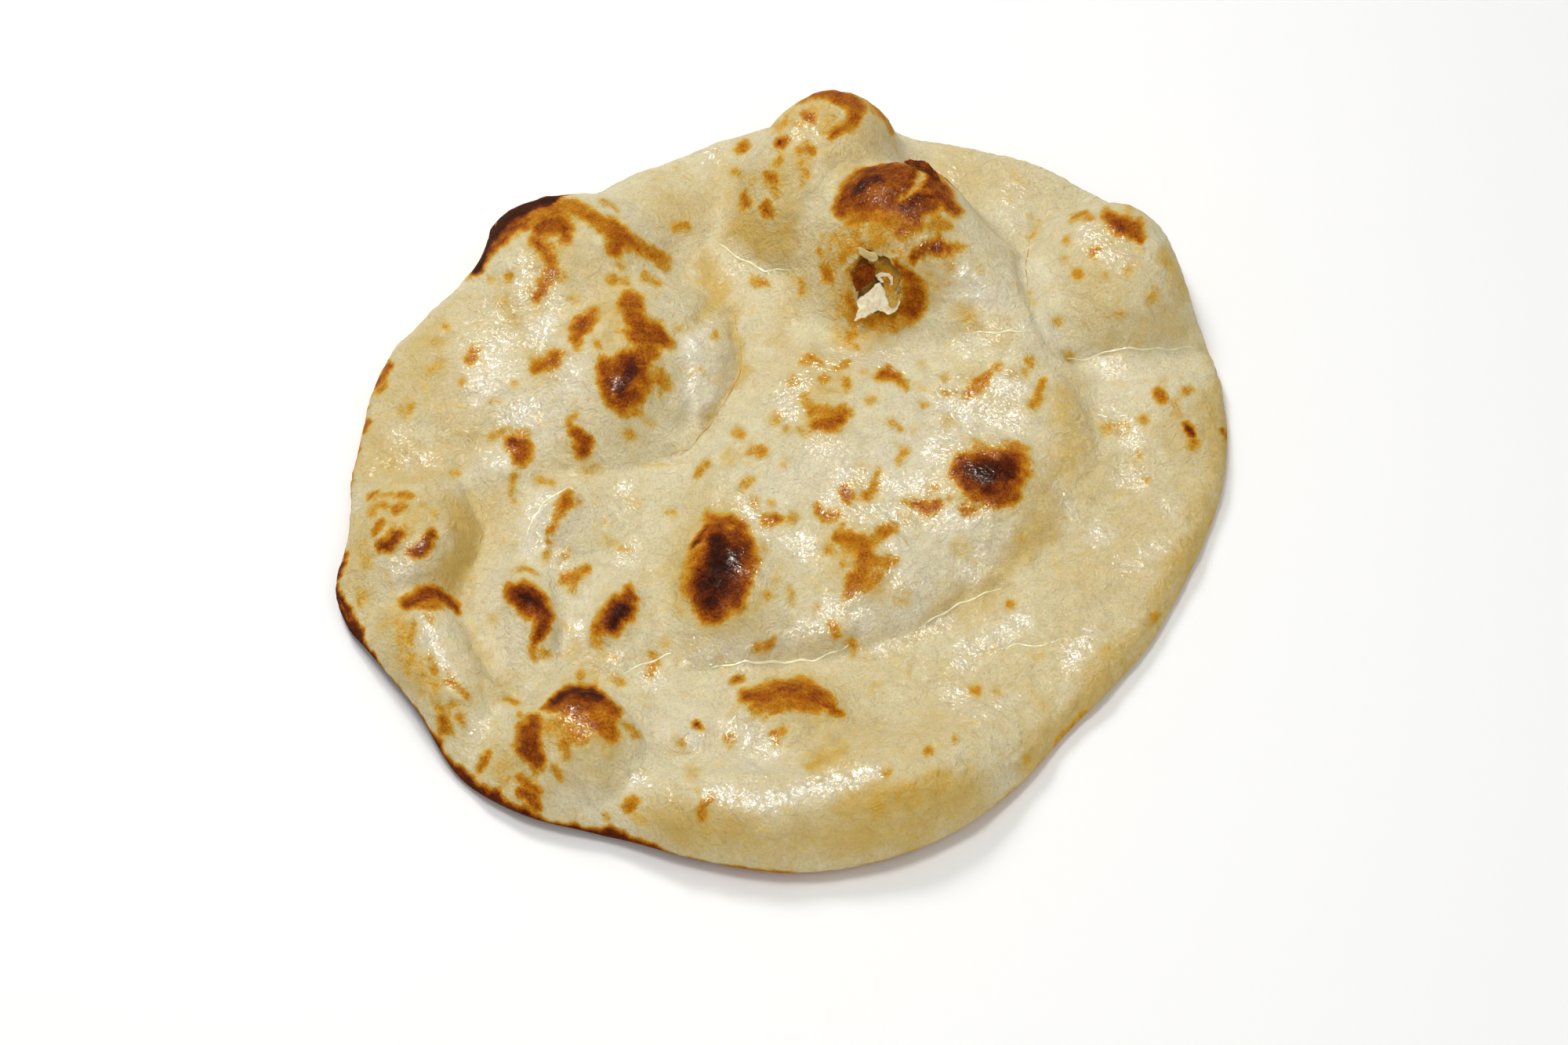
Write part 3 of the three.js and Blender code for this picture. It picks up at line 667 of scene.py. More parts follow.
# %% Halos and dark cores
HALOS = [
    (0.2, (915, 690, 46), (915, 760, 44)), (0.2, (1250, 600, 52), (1270, 620, 40)),
    (0.24, (1085, 700, 38), (1110, 730, 36)), (0.2, (800, 400, 34), (800, 480, 44)),
    (0.2, (1050, 530, 34)), (0.22, (1000, 885, 36), (1040, 892, 30)), (0.3, (740, 915, 44)),
    (0.24, (505, 780, 20), (530, 850, 18), (570, 905, 20)), (0.22, (640, 990, 24)),
    (0.32, (1080, 310, 30), (1130, 306, 26)), (0.28, (1074, 370, 20), (1084, 425, 20)),
    (0.2, (680, 945, 24)), (0.2, (672, 765, 26)), (0.2, (788, 780, 26)), (0.2, (548, 765, 26)),
    (0.2, (500, 660, 30), (535, 690, 24)), (0.2, (1120, 320, 50), (1190, 330, 40)),
    (0.2, (1110, 425, 30)), (0.2, (700, 320, 30), (690, 370, 18)), (0.2, (1430, 290, 34)),
    # The next three thin strokes run deep in folds: painted crease shade, not halos.
    (0.26, (938, 405, 2), (944, 440, 2), (946, 470, 3), (932, 500, 2), (906, 538, 2)),
    (0.22, (600, 626, 2), (614, 645, 2), (618, 672, 2), (610, 700, 2)),
    (0.2, (594, 782, 2), (628, 848, 2)), (0.2, (740, 420, 24)), (0.2, (694, 462, 22)),
    (0.2, (1050, 480, 36)), (0.2, (1240, 490, 24)), (0.2, (1180, 645, 26)), (0.2, (1100, 630, 26)),
    (0.22, (1000, 150, 24), (1060, 150, 40)),
]
print(len(HALOS), "halos")
CORES = [
    (1.9, (608, 342, 6), (616, 318, 8), (632, 292, 11), (655, 269, 11), (682, 255, 9),
     (710, 249, 5)), (1.25, (914, 690, 18), (922, 716, 33), (912, 746, 33), (906, 766, 20)),
    (1.15, (1232, 596, 14), (1258, 600, 26), (1282, 600, 26)),
    (1.0, (1262, 618, 20), (1284, 622, 17)),
    (1.06, (805, 464, 15), (797, 480, 17), (789, 495, 14)),
    (0.98, (778, 487, 12), (795, 506, 11)),
    (1.2, (664, 758, 11), (684, 768, 12)), (1.05, (690, 782, 9), (691, 798, 8)),
    (1.25, (792, 775, 13), (780, 791, 13)), (1.0, (556, 758, 6)),
    (1.35, (712, 888, 6), (730, 884, 8), (750, 884, 8), (764, 890, 5)),
    (0.95, (990, 880, 8), (1020, 880, 8)), (1.15, (1092, 240, 13), (1122, 229, 13)),
    (1.05, (1152, 262, 12), (1174, 250, 12), (1192, 248, 10)),
    (1.0, (1186, 218, 7), (1197, 236, 7)), (0.95, (1096, 348, 8)), (0.95, (1168, 372, 7)),
    (0.95, (1430, 288, 9)), (0.9, (806, 396, 8)), (0.9, (832, 432, 10)), (0.95, (545, 694, 6)),
    (0.95, (492, 690, 6)), (0.95, (676, 942, 7)),
]
print(len(CORES), "dark cores")

# %% [markdown]
# ## Where the butter did not reach
# Charred edges and the rim at the front are dull. Gloss could be lowered by hand in the material,
# but a list of dry places keeps it next to the other marks.

# %% Dry places
DRY = [
    (1.0, (600, 350, 8), (612, 320, 12), (640, 285, 13), (668, 260, 12), (712, 246, 9)),
    (1.0, (705, 892, 7), (745, 880, 8), (770, 888, 7)),
    (0.15, (1085, 260, 26), (1130, 245, 40), (1185, 250, 30)),
    (0.6, (1095, 350, 22), (1100, 345, 20)),
    (0.6, (1165, 370, 22), (1150, 408, 22), (1110, 412, 16)),
    (0.8, (840, 1092, 26), (1000, 1105, 26), (1160, 1090, 30), (1245, 1050, 24)),
    (0.7, (1560, 540, 10), (1545, 650, 12), (1500, 740, 12), (1440, 850, 12)),
    (0.5, (1510, 350, 26), (1525, 420, 22)), (0.6, (740, 1045, 14), (680, 1030, 12)),
]
print(len(DRY), "dry places")

# %% [markdown]
# ## Where the butter glitters
# Melted butter gathers in patches, and there the skin sparkles. A single gloss value makes bread
# look like plastic, so the wet patches are listed and everything else stays nearly dull.

# %% Wet patches
# These patches also whiten the dough colour in the crust material: painted sheen.
SHEEN = [
    (0.62, (640, 430, 18), (620, 465, 24), (618, 490, 18)), (0.6, (700, 400, 12), (690, 428, 16)),
    (1.0, (655, 535, 16), (680, 520, 14)), (0.7, (718, 474, 16)),
    (0.6, (668, 340, 12), (658, 380, 14)), (0.6, (702, 350, 9), (704, 378, 10)),
    (0.5, (845, 390, 12)), (0.5, (630, 395, 12)),
    (0.9, (1388, 298, 14), (1425, 324, 18), (1440, 328, 12)),
    (0.9, (1225, 345, 13), (1242, 366, 14)), (0.4, (1290, 250, 16), (1280, 280, 22)),
    (0.5, (1155, 305, 16), (1185, 300, 10)),
    (0.6, (905, 415, 10), (885, 440, 9), (878, 480, 9), (888, 515, 9)),
    (0.5, (935, 330, 9), (980, 345, 10)),
    (0.9, (1010, 500, 12), (1040, 468, 14), (1075, 450, 12), (1110, 462, 10), (1150, 460, 12)),
    (0.8, (1012, 525, 13), (1000, 500, 10)),
    (0.6, (1230, 440, 9), (1270, 418, 10), (1320, 418, 9), (1350, 425, 9)),
    (1.0, (1280, 490, 20), (1295, 500, 12)),
    (0.8, (1210, 510, 20), (1250, 530, 24), (1290, 540, 18)),
    (0.9, (1195, 575, 16), (1240, 558, 14), (1290, 566, 12)),
    (0.6, (1040, 570, 14), (1075, 565, 10)), (1.0, (1080, 608, 14), (1098, 612, 14)),
    (0.8, (1062, 642, 14), (1110, 662, 14), (1160, 655, 14)),
    (0.8, (1140, 620, 14), (1200, 620, 14)),
    (0.8, (1190, 665, 12), (1260, 655, 14), (1275, 668, 12)),
    (0.9, (955, 650, 13), (968, 668, 13), (978, 690, 9)), (0.9, (1010, 690, 12), (1028, 704, 14)),
    (1.3, (975, 728, 13)), (1.3, (1142, 738, 16)), (0.7, (1145, 700, 12)),
    (0.6, (1270, 690, 16), (1240, 730, 14)), (0.7, (1150, 790, 14), (1190, 740, 14)),
    (1.0, (1062, 775, 16), (1085, 770, 14), (1100, 795, 14)),
    (0.9, (900, 835, 14), (950, 835, 14), (1010, 815, 12), (1050, 800, 14)),
    (0.6, (870, 790, 10), (885, 812, 10)), (0.7, (1130, 825, 12), (1150, 805, 12), (1205, 795, 12)),
    (0.8, (1230, 840, 14), (1270, 815, 14), (1300, 796, 12)), (0.6, (520, 590, 14), (545, 592, 10)),
    (0.5, (505, 555, 14)), (0.5, (610, 588, 12), (645, 586, 10)),
    (0.9, (676, 690, 11), (682, 660, 13), (695, 640, 11)), (0.8, (760, 655, 12)),
    (0.8, (795, 640, 14), (800, 620, 10)), (0.8, (800, 705, 13)), (0.9, (718, 716, 14)),
    (1.0, (513, 726, 16)), (0.6, (735, 800, 10)), (0.5, (790, 840, 14)),
    (1.3, (540, 790, 10), (552, 820, 11), (568, 850, 9)), (0.9, (832, 866, 13)),
    (0.7, (612, 925, 12)), (0.7, (722, 912, 10), (748, 938, 12)), (0.8, (885, 945, 12)),
    (0.8, (942, 930, 14), (985, 950, 12)), (0.6, (960, 978, 12)), (1.2, (813, 994, 13)),
    (0.5, (845, 1022, 12)), (0.5, (670, 885, 10)),
    (1.3, (906, 1014, 10), (945, 1022, 10), (1000, 1020, 10), (1050, 1000, 10), (1115, 986, 9)),
    (0.7, (1210, 890, 12), (1245, 906, 14), (1290, 895, 10)),
    (1.0, (1370, 838, 13), (1388, 815, 12)), (0.8, (1350, 615, 9), (1368, 650, 10)),
    (0.9, (1402, 684, 14)), (0.8, (1430, 605, 12), (1458, 612, 12)),
    (0.6, (1415, 530, 14), (1445, 560, 14)), (0.6, (1412, 470, 16)),
    (0.5, (1470, 700, 16), (1430, 725, 12)), (0.4, (1490, 650, 14)), (0.5, (1025, 165, 18)),
    (0.5, (910, 195, 12)), (0.4, (1220, 225, 12)), (0.6, (938, 708, 8), (948, 732, 8)),
    (0.5, (1240, 596, 8), (1262, 604, 8)), (0.5, (788, 490, 9)),
    (0.3, (1100, 245, 22), (1140, 250, 26), (1170, 265, 26)),
    (0.9, (1180, 314, 9), (1200, 318, 8)), (0.6, (575, 870, 12)), (0.5, (530, 700, 14)),
]
print(len(SHEEN), "wet patches")

# %% [markdown]
# ## The crack in the cap
# The skin on the dome split as it cooled, and paler crumb shows in the gap. A cut through the mesh
# would open the bread, so the crack is a shallow groove that gets a paler colour below.

# %% Sink the crack in the cap
CAP_CRACK = [
    (1.0, (1146, 255, 2), (1157, 249, 2), (1165, 242, 3), (1171, 234, 5), (1175, 225, 6)),
]
CRACK_DEPTH = 0.9 * MM

skin = Skin(bread)
push_out(bread, "cap_crack", skin.paint(CAP_CRACK, fade=3.5), -CRACK_DEPTH)
print("the crack is a stroke of", len(CAP_CRACK[0]) - 1, "points")

# %% [markdown]
# ## Browning on the side that was seen
# All the spots become one number per point. Where strokes meet, the stronger one wins, as the
# darker scorch does on real skin.

# %% Paint the browning
skin = Skin(bread)
browning = skin.paint(BACK_LEFT + BACK_KNOB + TORN_DOME + BACK_RIGHT + MIDDLE + LEFT + FRONT,
                      fade=5.6, fade_share=0.22, ragged=2.0)
browning = np.maximum(browning, skin.paint(HALOS, fade=6.0, fade_share=0.6, ragged=3.0))
browning = np.maximum(browning, skin.paint(CORES, fade=5.0, fade_share=0.7, ragged=2.0))
print("browned points seen:", int((browning > 0.2).sum()))

# %% [markdown]
# ## The far side of the bubbles
# A camera sees only one side of a crest, but a scorched top is brown all round. Stretching the
# strokes over the far slope leaves drips, so they end where the skin turns away, and round patches
# placed on the crests carry on over the back. The facing is averaged over neighbouring points
# first, or every small dimple would cut a streak out of a spot.

# %% Carry the spots over the crests
CREST_SPOTS = [
    (1.25, 13, (640, 272)), (1.2, 10, (612, 325)), (0.9, 11, (690, 256)), (0.62, 8, (1060, 116)),
    (0.55, 6, (1032, 120)), (0.88, 15, (1130, 212)), (0.8, 10, (1182, 216)), (0.5, 6, (1432, 272)),
    (0.8, 6, (738, 884)), (0.6, 5, (1000, 880)),
]
SEEN_FROM = -0.04
SEEN_WIDTH = 0.2
SEEN_WANDER = 0.08
MOST_AT_THE_TURN = 2.2
ROUNDS = 8


def even_out(piece, values, rounds):
    """Average each point's value with its neighbours', a few times over."""
    edges = np.array([edge.vertices[:] for edge in piece.data.edges])
    share = 1 + np.bincount(edges.ravel(), minlength=len(values))
    for _ in range(rounds):
        total = values.copy()
        np.add.at(total, edges[:, 0], values[edges[:, 1]])
        np.add.at(total, edges[:, 1], values[edges[:, 0]])
        values = total / share
    return values


x, y, z = (skin.places / MM).T
waves = 0.5 * (np.sin(0.9 * x + 0.5 * z) + np.sin(1.1 * y - 0.7 * z + 1) + np.sin(2.3 * z + 1.9 * x))
facing = even_out(bread, skin.facing, ROUNDS)
seen = smooth(np.clip((facing - SEEN_FROM + SEEN_WANDER * waves) / SEEN_WIDTH, 0, 1))
browning = np.minimum(browning, MOST_AT_THE_TURN * seen)
for strength, reach, pixel in CREST_SPOTS:
    crest = skin.tree.ray_cast(camera_place, picture_ray(*pixel))[0]
    if crest is not None:
        span = np.linalg.norm(skin.places - np.array(crest), axis=1) / MM + 1.1 * waves
        over = strength * smooth(np.clip((reach + 1.5 - span) / 3, 0, 1)) * (1 - seen ** 2)
        browning = np.maximum(browning, over)
print("browned points with the far side:", int((browning > 0.2).sum()))

# %% [markdown]
# ## The charred edge
# The lower edge touched the oven, most of all at the front left, and baked to a thin dark crust.
# A stroke would have to trace the whole outline. It is simpler to brown all outward skin below a
# height that changes with the direction, in degrees from +X, and in each direction only the skin
# near the rim.

# %% Char the lower edge
EDGE_FADE = 1.8 * MM
EDGE_REACH = 9 * MM
EDGE_STRENGTH = 1.15
SECTORS = 120
CHAR_HEIGHTS = {0: 4.5, 150: 4.5, 190: 5.3, 203: 6.2, 250: 5.8, 262: 5.3, 275: 4.8, 300: 4.5,
                360: 4.5}
CHAR_SHARES = {0: 0.15, 150: 0.2, 192: 0.5, 200: 1.0, 225: 0.95, 250: 0.9, 262: 0.6, 275: 0.35,
               300: 0.3, 330: 0.15, 360: 0.15}

turn = np.degrees(np.arctan2(skin.places[:, 1], skin.places[:, 0])) % 360
ragged_line = 0.7 * np.sin(0.43 * turn) + 0.4 * np.sin(1.31 * turn + 1)
ragged_line += 0.25 * np.sin(3.3 * turn + 2)
char_height = np.interp(turn, list(CHAR_HEIGHTS), list(CHAR_HEIGHTS.values()))
near_edge = np.clip(((char_height + ragged_line) * MM - skin.places[:, 2]) / EDGE_FADE, 0, 1)
radius = np.hypot(skin.places[:, 0], skin.places[:, 1])
sector = (turn * SECTORS / 360).astype(int)
rim_radius = np.array([radius[sector == k].max() for k in range(SECTORS)])[sector]
outward = np.hypot(skin.normals[:, 0], skin.normals[:, 1]) > 0.3
outward &= radius > rim_radius - EDGE_REACH
char_share = np.interp(turn, list(CHAR_SHARES), list(CHAR_SHARES.values()))
edge_char = EDGE_STRENGTH * near_edge * outward * char_share
browning = np.maximum(browning, edge_char)
print("charred points on the edge:", int((edge_char > 0.5).sum()))

# %% [markdown]
# ## Inside the torn hole
# The pocket has never seen the flame, so its walls are pale tan and dry. They are found by their
# place and by facing the middle of the pocket, which a painted mask could not do from outside.

# %% Colour the hole and store the values
HOLE_CENTRE = np.array((23.6, 49.6, 24.6)) * MM
HOLE_REACH = 10.5 * MM
HOLE_BROWN = 0.34
CRACK_BROWN = 0.26

to_centre = HOLE_CENTRE - skin.places
away = np.linalg.norm(to_centre, axis=1)
inside = (away < HOLE_REACH) & (np.einsum("ij,ij->i", skin.normals, to_centre) > 0.25 * away)
inside = inside.astype(float)
crack = np.clip(skin.paint(CAP_CRACK, fade=3.0) * 1.3, 0, 1)
browning = browning * (1 - inside) * (1 - crack) + HOLE_BROWN * inside + CRACK_BROWN * crack
store(bread, "browning", browning)
dry = skin.paint(DRY, fade_share=0.6, ragged=3.0)
dry = np.maximum.reduce([dry, np.clip(edge_char * 1.3, 0, 1), inside, crack])
store(bread, "dry", dry)
store(bread, "sheen", seen * skin.paint(SHEEN, fade_share=0.85, ragged=3.0))
print("browned points", int((browning > 0.2).sum()), "of", len(browning))

# %% [markdown]
# ## Golden dough and painted shade
# Under the spots the dough runs from golden flats and rims to almost white blisters. A noise could
# vary it, but the flats that soaked up butter have known places, so they are wide soft strokes. Some
# strokes are painted shade: they darken sides of bubbles turned from the light and slopes into
# folds.

# %% Golden dough and painted shade
GOLDEN_AND_SHADE = [
    (0.55, (480, 545, 24), (466, 600, 24)), (0.5, (545, 440, 28), (500, 500, 28)),
    # Painted shade: the second stroke here darkens the side of a bubble turned from the light.
    (0.4, (560, 580, 18), (605, 570, 18)), (0.95, (588, 650, 20), (592, 700, 20), (578, 738, 20)),
    (0.5, (452, 680, 18), (456, 740, 18), (482, 800, 18), (530, 880, 18)),
    (0.6, (612, 822, 16), (640, 880, 16)),
    (0.75, (850, 1050, 32), (1000, 1072, 32), (1150, 1062, 32), (1230, 1015, 32)),
    (0.95, (1085, 1028, 24), (1200, 1008, 24)),
    (0.8, (1545, 500, 22), (1555, 600, 22), (1520, 700, 22), (1460, 800, 22)),
    (0.8, (1460, 800, 22), (1380, 900, 22), (1312, 980, 22)),
    (0.35, (1420, 620, 70), (1440, 740, 70)), (0.6, (1470, 420, 24), (1520, 422, 24)),
    (0.7, (1492, 330, 13), (1502, 385, 13)), (0.35, (1400, 370, 50)),
    (0.6, (1250, 412, 14), (1292, 430, 14)),
    # Painted shade: the next two strokes darken the right slope and fold of the middle plateau.
    (0.55, (1362, 500, 22), (1372, 560, 22), (1342, 640, 22), (1310, 700, 22)),
    (0.55, (1310, 700, 18), (1250, 758, 18), (1180, 790, 18)),
    # Painted shade: the second stroke here darkens the right side of the knob at the back.
    (0.95, (948, 290, 24), (1000, 312, 24)), (0.45, (1120, 170, 26), (1100, 195, 26)),
    (0.5, (860, 262, 32), (930, 240, 32)), (0.3, (1200, 222, 30), (1285, 235, 30)),
    (0.7, (898, 335, 14), (914, 378, 14), (902, 402, 14)), (0.45, (740, 350, 30), (770, 390, 30)),
    (0.3, (1300, 880, 50), (1180, 900, 50)), (0.35, (640, 640, 26), (640, 700, 26)),
    (0.4, (700, 1000, 24), (780, 990, 24)), (0.4, (1008, 345, 14), (1000, 430, 14)),
    (0.3, (900, 610, 20), (870, 690, 20)), (0.35, (500, 640, 30), (545, 640, 30)),
    # Painted shade: this thin stroke darkens the fold on the right of the back left bubble.
    (0.6, (935, 398, 7), (943, 440, 7), (945, 472, 7), (930, 502, 7), (905, 540, 7)),
    (0.4, (1040, 1000, 16), (1100, 985, 16)), (0.6, (480, 555, 34), (520, 592, 30)),
    # Painted shade: both strokes here darken the slope of the wide back left bubble.
    (0.5, (540, 480, 34), (585, 525, 34)), (0.3, (650, 400, 40)),
    (0.6, (652, 980, 24)), (0.5, (1000, 222, 32)), (0.4, (1030, 365, 26)), (0.45, (980, 730, 26)),
    (0.35, (770, 960, 32)), (0.45, (905, 690, 62), (912, 760, 60)), (0.4, (1030, 330, 24)),
    (0.45, (1050, 950, 34), (1150, 948, 40), (1230, 925, 30)), (0.3, (760, 850, 30)),
    (0.25, (600, 830, 30)), (0.3, (1430, 425, 26)), (0.3, (1420, 620, 50), (1400, 800, 60)),
    (0.25, (1100, 870, 34), (1200, 880, 40)), (0.8, (500, 590, 26), (540, 600, 24)),
    (0.9, (1250, 410, 12), (1285, 418, 12)), (0.5, (985, 300, 20), (1000, 330, 16)),
    (0.4, (690, 470, 30)), (0.4, (560, 430, 26)), (0.5, (1420, 440, 18)),
    (0.5, (1500, 560, 30), (1530, 640, 24)),
]
print(len(GOLDEN_AND_SHADE), "golden areas")

# %% [markdown]
# ## Pale dough and painted sheen
# Stretched thin, the skin of a blister stays white with flour. The same strokes also paint sheen:
# they whiten the tops where the wet skin shone white, also on a slope that lies in shade here.

# %% Pale dough and painted sheen
PALE_AND_SHEEN = [
    # Painted sheen: the first stroke whitens the side of a small bubble that lies in shade.
    (1.0, (888, 440, 22), (896, 500, 22)), (0.7, (725, 500, 34), (700, 530, 34)),
    (0.9, (1150, 312, 11), (1162, 324, 10)), (0.5, (1210, 560, 55), (1150, 590, 55)),
    (0.6, (1210, 690, 44), (1130, 710, 44)),
    (0.5, (702, 650, 28), (672, 690, 28)), (0.7, (1215, 360, 26), (1265, 372, 26)),
    (0.5, (600, 500, 30), (640, 470, 30)), (0.5, (612, 592, 20), (650, 600, 20)),
    (0.5, (740, 440, 24), (700, 420, 24)), (0.5, (1160, 760, 26), (1120, 790, 26)),
    (0.5, (1050, 600, 24), (1000, 620, 24)), (0.4, (860, 930, 30), (960, 950, 30)),
    (0.4, (640, 760, 24), (640, 840, 24)), (0.4, (740, 770, 24), (730, 830, 24)),
    (0.4, (1330, 350, 26), (1350, 400, 26)), (0.5, (720, 1020, 20), (760, 1035, 20)),
    (0.4, (1390, 480, 26), (1430, 480, 26)),
]
print(len(PALE_AND_SHEEN), "pale areas")

# %% [markdown]
# ## Store them for the material
# Golden and pale areas end where the skin turns away, like the browning, and the far slopes stay
# lightly golden. The flat underside was scorched all over by the oven wall. It could have strokes
# too, but it was never seen, so it has a value that rises towards z = 0, to scatter spots by.

# %% Store golden, pale and under
UNDER_FROM = 2.2 * MM
UNDER_FADE = 1.6 * MM
GOLDEN_BEHIND = 0.35

# The golden values also hold painted shade.
golden_flats = seen * skin.paint(GOLDEN_AND_SHADE, fade_share=0.9, ragged=5.0)
store(bread, "golden", np.maximum(golden_flats, GOLDEN_BEHIND * (1 - seen)))
# The pale values also hold painted sheen.
store(bread, "pale_and_sheen", seen * skin.paint(PALE_AND_SHEEN, fade_share=0.95, ragged=5.0))
under_side = np.clip((UNDER_FROM - skin.places[:, 2]) / UNDER_FADE, 0, 1)
store(bread, "under", under_side)
print("points of the underside:", int((under_side > 0.5).sum()))

# %% [markdown]
# ## Materials
# The crust changes from point to point, so its colour has to be built from nodes. Wiring them by
# hand takes a long time to read back; a few helpers that add a node or a material and set its values
# keep each step short. `srgb` turns eight-bit colours into the linear ones that nodes use.

# %% Helpers for the node trees
def srgb(red, green, blue):
    """Linear colour of an eight-bit colour."""
    def linear(v):
        v = v / 255
        return v / 12.92 if v <= 0.04045 else ((v + 0.055) / 1.055) ** 2.4
    return (linear(red), linear(green), linear(blue), 1.0)


def add_node(tree, kind, place, **settings):
    """Add a node at a place and set its properties."""
    node = tree.nodes.new(kind)
    node.location = place
    for key, value in settings.items():
        setattr(node, key, value)
    return node


def feed(tree, socket, value):
    """Link another socket in, or set a plain value."""
    if isinstance(value, bpy.types.NodeSocket):
        tree.links.new(value, socket)
    else:
        socket.default_value = value


def set_values(node, values):
    """Set values on a node's own sockets."""
    for socket, value in values.items():
        node.inputs[socket].default_value = value


def new_material(name, values):
    """A material, its node tree and its shader, with values on the shader's own sockets."""
    material = bpy.data.materials.new(name)
    material.use_nodes = True
    shader = material.node_tree.nodes["Principled BSDF"]
    set_values(shader, values)
    return material, material.node_tree, shader


print("middle grey is", round(srgb(128, 128, 128)[0], 3), "in linear light")

# %% [markdown]
# ## Shorthands for single nodes
# The crust needs some sixty nodes. Each kind could be added in full every time, but a shorthand
# that adds, sets and links one node lets the material below read like a recipe.

# %% Shorthands that read, mix and colour
def read_attribute(tree, name, place):
    """A stored value of the piece."""
    return add_node(tree, "ShaderNodeAttribute", place, attribute_name=name).outputs["Fac"]


def mix_colour(tree, place, factor, first, second):
    """Mix two colours by a factor; each is a socket or a colour."""
    node = add_node(tree, "ShaderNodeMix", place, data_type="RGBA")
    sockets = (node.inputs["Factor"], node.inputs[6], node.inputs[7])
    for socket, value in zip(sockets, (factor, first, second)):
        feed(tree, socket, value)
    return node.outputs[2]


def ramp(tree, place, source_socket, stops):
    """Colour ramp through a list of (position, colour)."""
    node = add_node(tree, "ShaderNodeValToRGB", place)
    elements = node.color_ramp.elements
    while len(elements) < len(stops):
        elements.new(0.5)
    for element, (position, colour) in zip(elements, stops):
        element.position = position
        element.color = colour
    tree.links.new(source_socket, node.inputs["Fac"])
    return node.outputs["Color"]


def grey_ramp(tree, place, source_socket, *stops):
    """Ramp through (position, grey) stops, as a value."""
    colours = [(position, (grey, grey, grey, 1)) for position, grey in stops]
    return ramp(tree, place, source_socket, colours)


print("a ramp takes a list of stops, such as", [(0.0, srgb(0, 0, 0)), (1.0, srgb(255, 255, 255))])

# %% [markdown]
# ## Shorthands for sums and noise
# Masks are mixed by sums. Ramps alone could do that too, but a Math node shows its number, and a
# noise in Object coordinates gives its scale in features per metre.

# %% Shorthands for sums and noise
def math_node(tree, place, operation, *values):
    """Math node; each value is a socket or a number."""
    node = add_node(tree, "ShaderNodeMath", place, operation=operation)
    for socket, value in zip(node.inputs, values):
        feed(tree, socket, value)
    return node.outputs[0]


def clamped(tree, place, value):
    """The value, kept between 0 and 1."""
    node = add_node(tree, "ShaderNodeClamp", place)
    tree.links.new(value, node.inputs["Value"])
    return node.outputs[0]


def noise(tree, place, vector, scale, detail=4.0, roughness=0.6, distortion=0.0):
    """Noise texture value."""
    node = add_node(tree, "ShaderNodeTexNoise", place)
    tree.links.new(vector, node.inputs["Vector"])
    set_values(node, {"Scale": scale, "Detail": detail, "Roughness": roughness,
                      "Distortion": distortion})
    return node.outputs["Fac"]


print("a noise of scale 450 has features about", round(1 / (450 * MM), 1), "mm wide")

# %% [markdown]
# ## Dough grain
# Close up, dough has pores and small creases, and so has the torn crumb. The nodes could be copied
# into both materials, but a node group with a named strength is built once and used in each.

# %% The dough grain group
GRAIN_DEPTH = 1.7 * MM


def grain_group():
    """Fine grain of dough: a mottle value and a bumped normal."""
    tree = bpy.data.node_groups.new("dough_grain", "ShaderNodeTree")
    strength = tree.interface.new_socket("Strength", in_out="INPUT", socket_type="NodeSocketFloat")
    strength.default_value = 1.0
    tree.interface.new_socket("Mottle", in_out="OUTPUT", socket_type="NodeSocketFloat")
    tree.interface.new_socket("Normal", in_out="OUTPUT", socket_type="NodeSocketVector")
    inlet = add_node(tree, "NodeGroupInput", (-900, 0))
    outlet = add_node(tree, "NodeGroupOutput", (500, 0))
    where = add_node(tree, "ShaderNodeTexCoord", (-900, -200)).outputs["Object"]
    pores = noise(tree, (-600, 100), where, 900, detail=5, roughness=0.65)
    creases = noise(tree, (-600, -250), where, 260, detail=6, roughness=0.6, distortion=1.2)
    bump = add_node(tree, "ShaderNodeBump", (100, -200))
    bump.inputs["Distance"].default_value = GRAIN_DEPTH
    link = tree.links.new
    link(math_node(tree, (-300, 0), "MULTIPLY_ADD", pores, 0.45, creases), bump.inputs["Height"])
    link(inlet.outputs["Strength"], bump.inputs["Strength"])
    link(pores, outlet.inputs["Mottle"])
    link(bump.outputs["Normal"], outlet.inputs["Normal"])
    return tree


GRAIN = grain_group()
print("dough grain has", len(GRAIN.nodes), "nodes")

# %% [markdown]
# ## Colours
# The colours were matched to the picture, from floury white through cream and gold to char. The
# white also serves as painted sheen and the gold partly as painted shade. They are named, so a spot
# can be made lighter by changing one value.

# %% The colours of dough and scorch
CREAM = srgb(231, 220, 181)
GOLD_AND_SHADE = srgb(216, 184, 104)
WHITE_DOUGH_AND_SHEEN = srgb(240, 232, 207)
PORE = srgb(196, 168, 112)
STAIN = srgb(228, 198, 108)
GOLDEN_BROWN = srgb(224, 172, 58)
ORANGE_BROWN = srgb(214, 137, 12)
BROWN = srgb(182, 94, 4)
DARK_BROWN = srgb(124, 48, 1)
CHAR = srgb(62, 20, 1)
DRY_BROWN = srgb(164, 106, 66)
print("cream is", [round(v, 3) for v in CREAM[:3]], "and char", [round(v, 3) for v in CHAR[:3]])

# %% [markdown]
# ## What the crust reads
# Light enters dough and comes out a little further on, so the shader scatters it under the surface
# by about a millimetre. The colour mixes the stored values, which say where, with noises, which say
# how ragged. Object coordinates in metres keep the grain the same size all over, where a stretched
# map would not.

# %% Noises and stored values
crust, tree, shader = new_material("crust", {
    "Specular IOR Level": 0.06, "Coat Roughness": 0.24, "Coat IOR": 1.46, "Subsurface Weight": 0.35,
    "Subsurface Radius": (1.0, 0.55, 0.2), "Subsurface Scale": 1.2 * MM})
where = add_node(tree, "ShaderNodeTexCoord", (-2200, 0)).outputs["Object"]

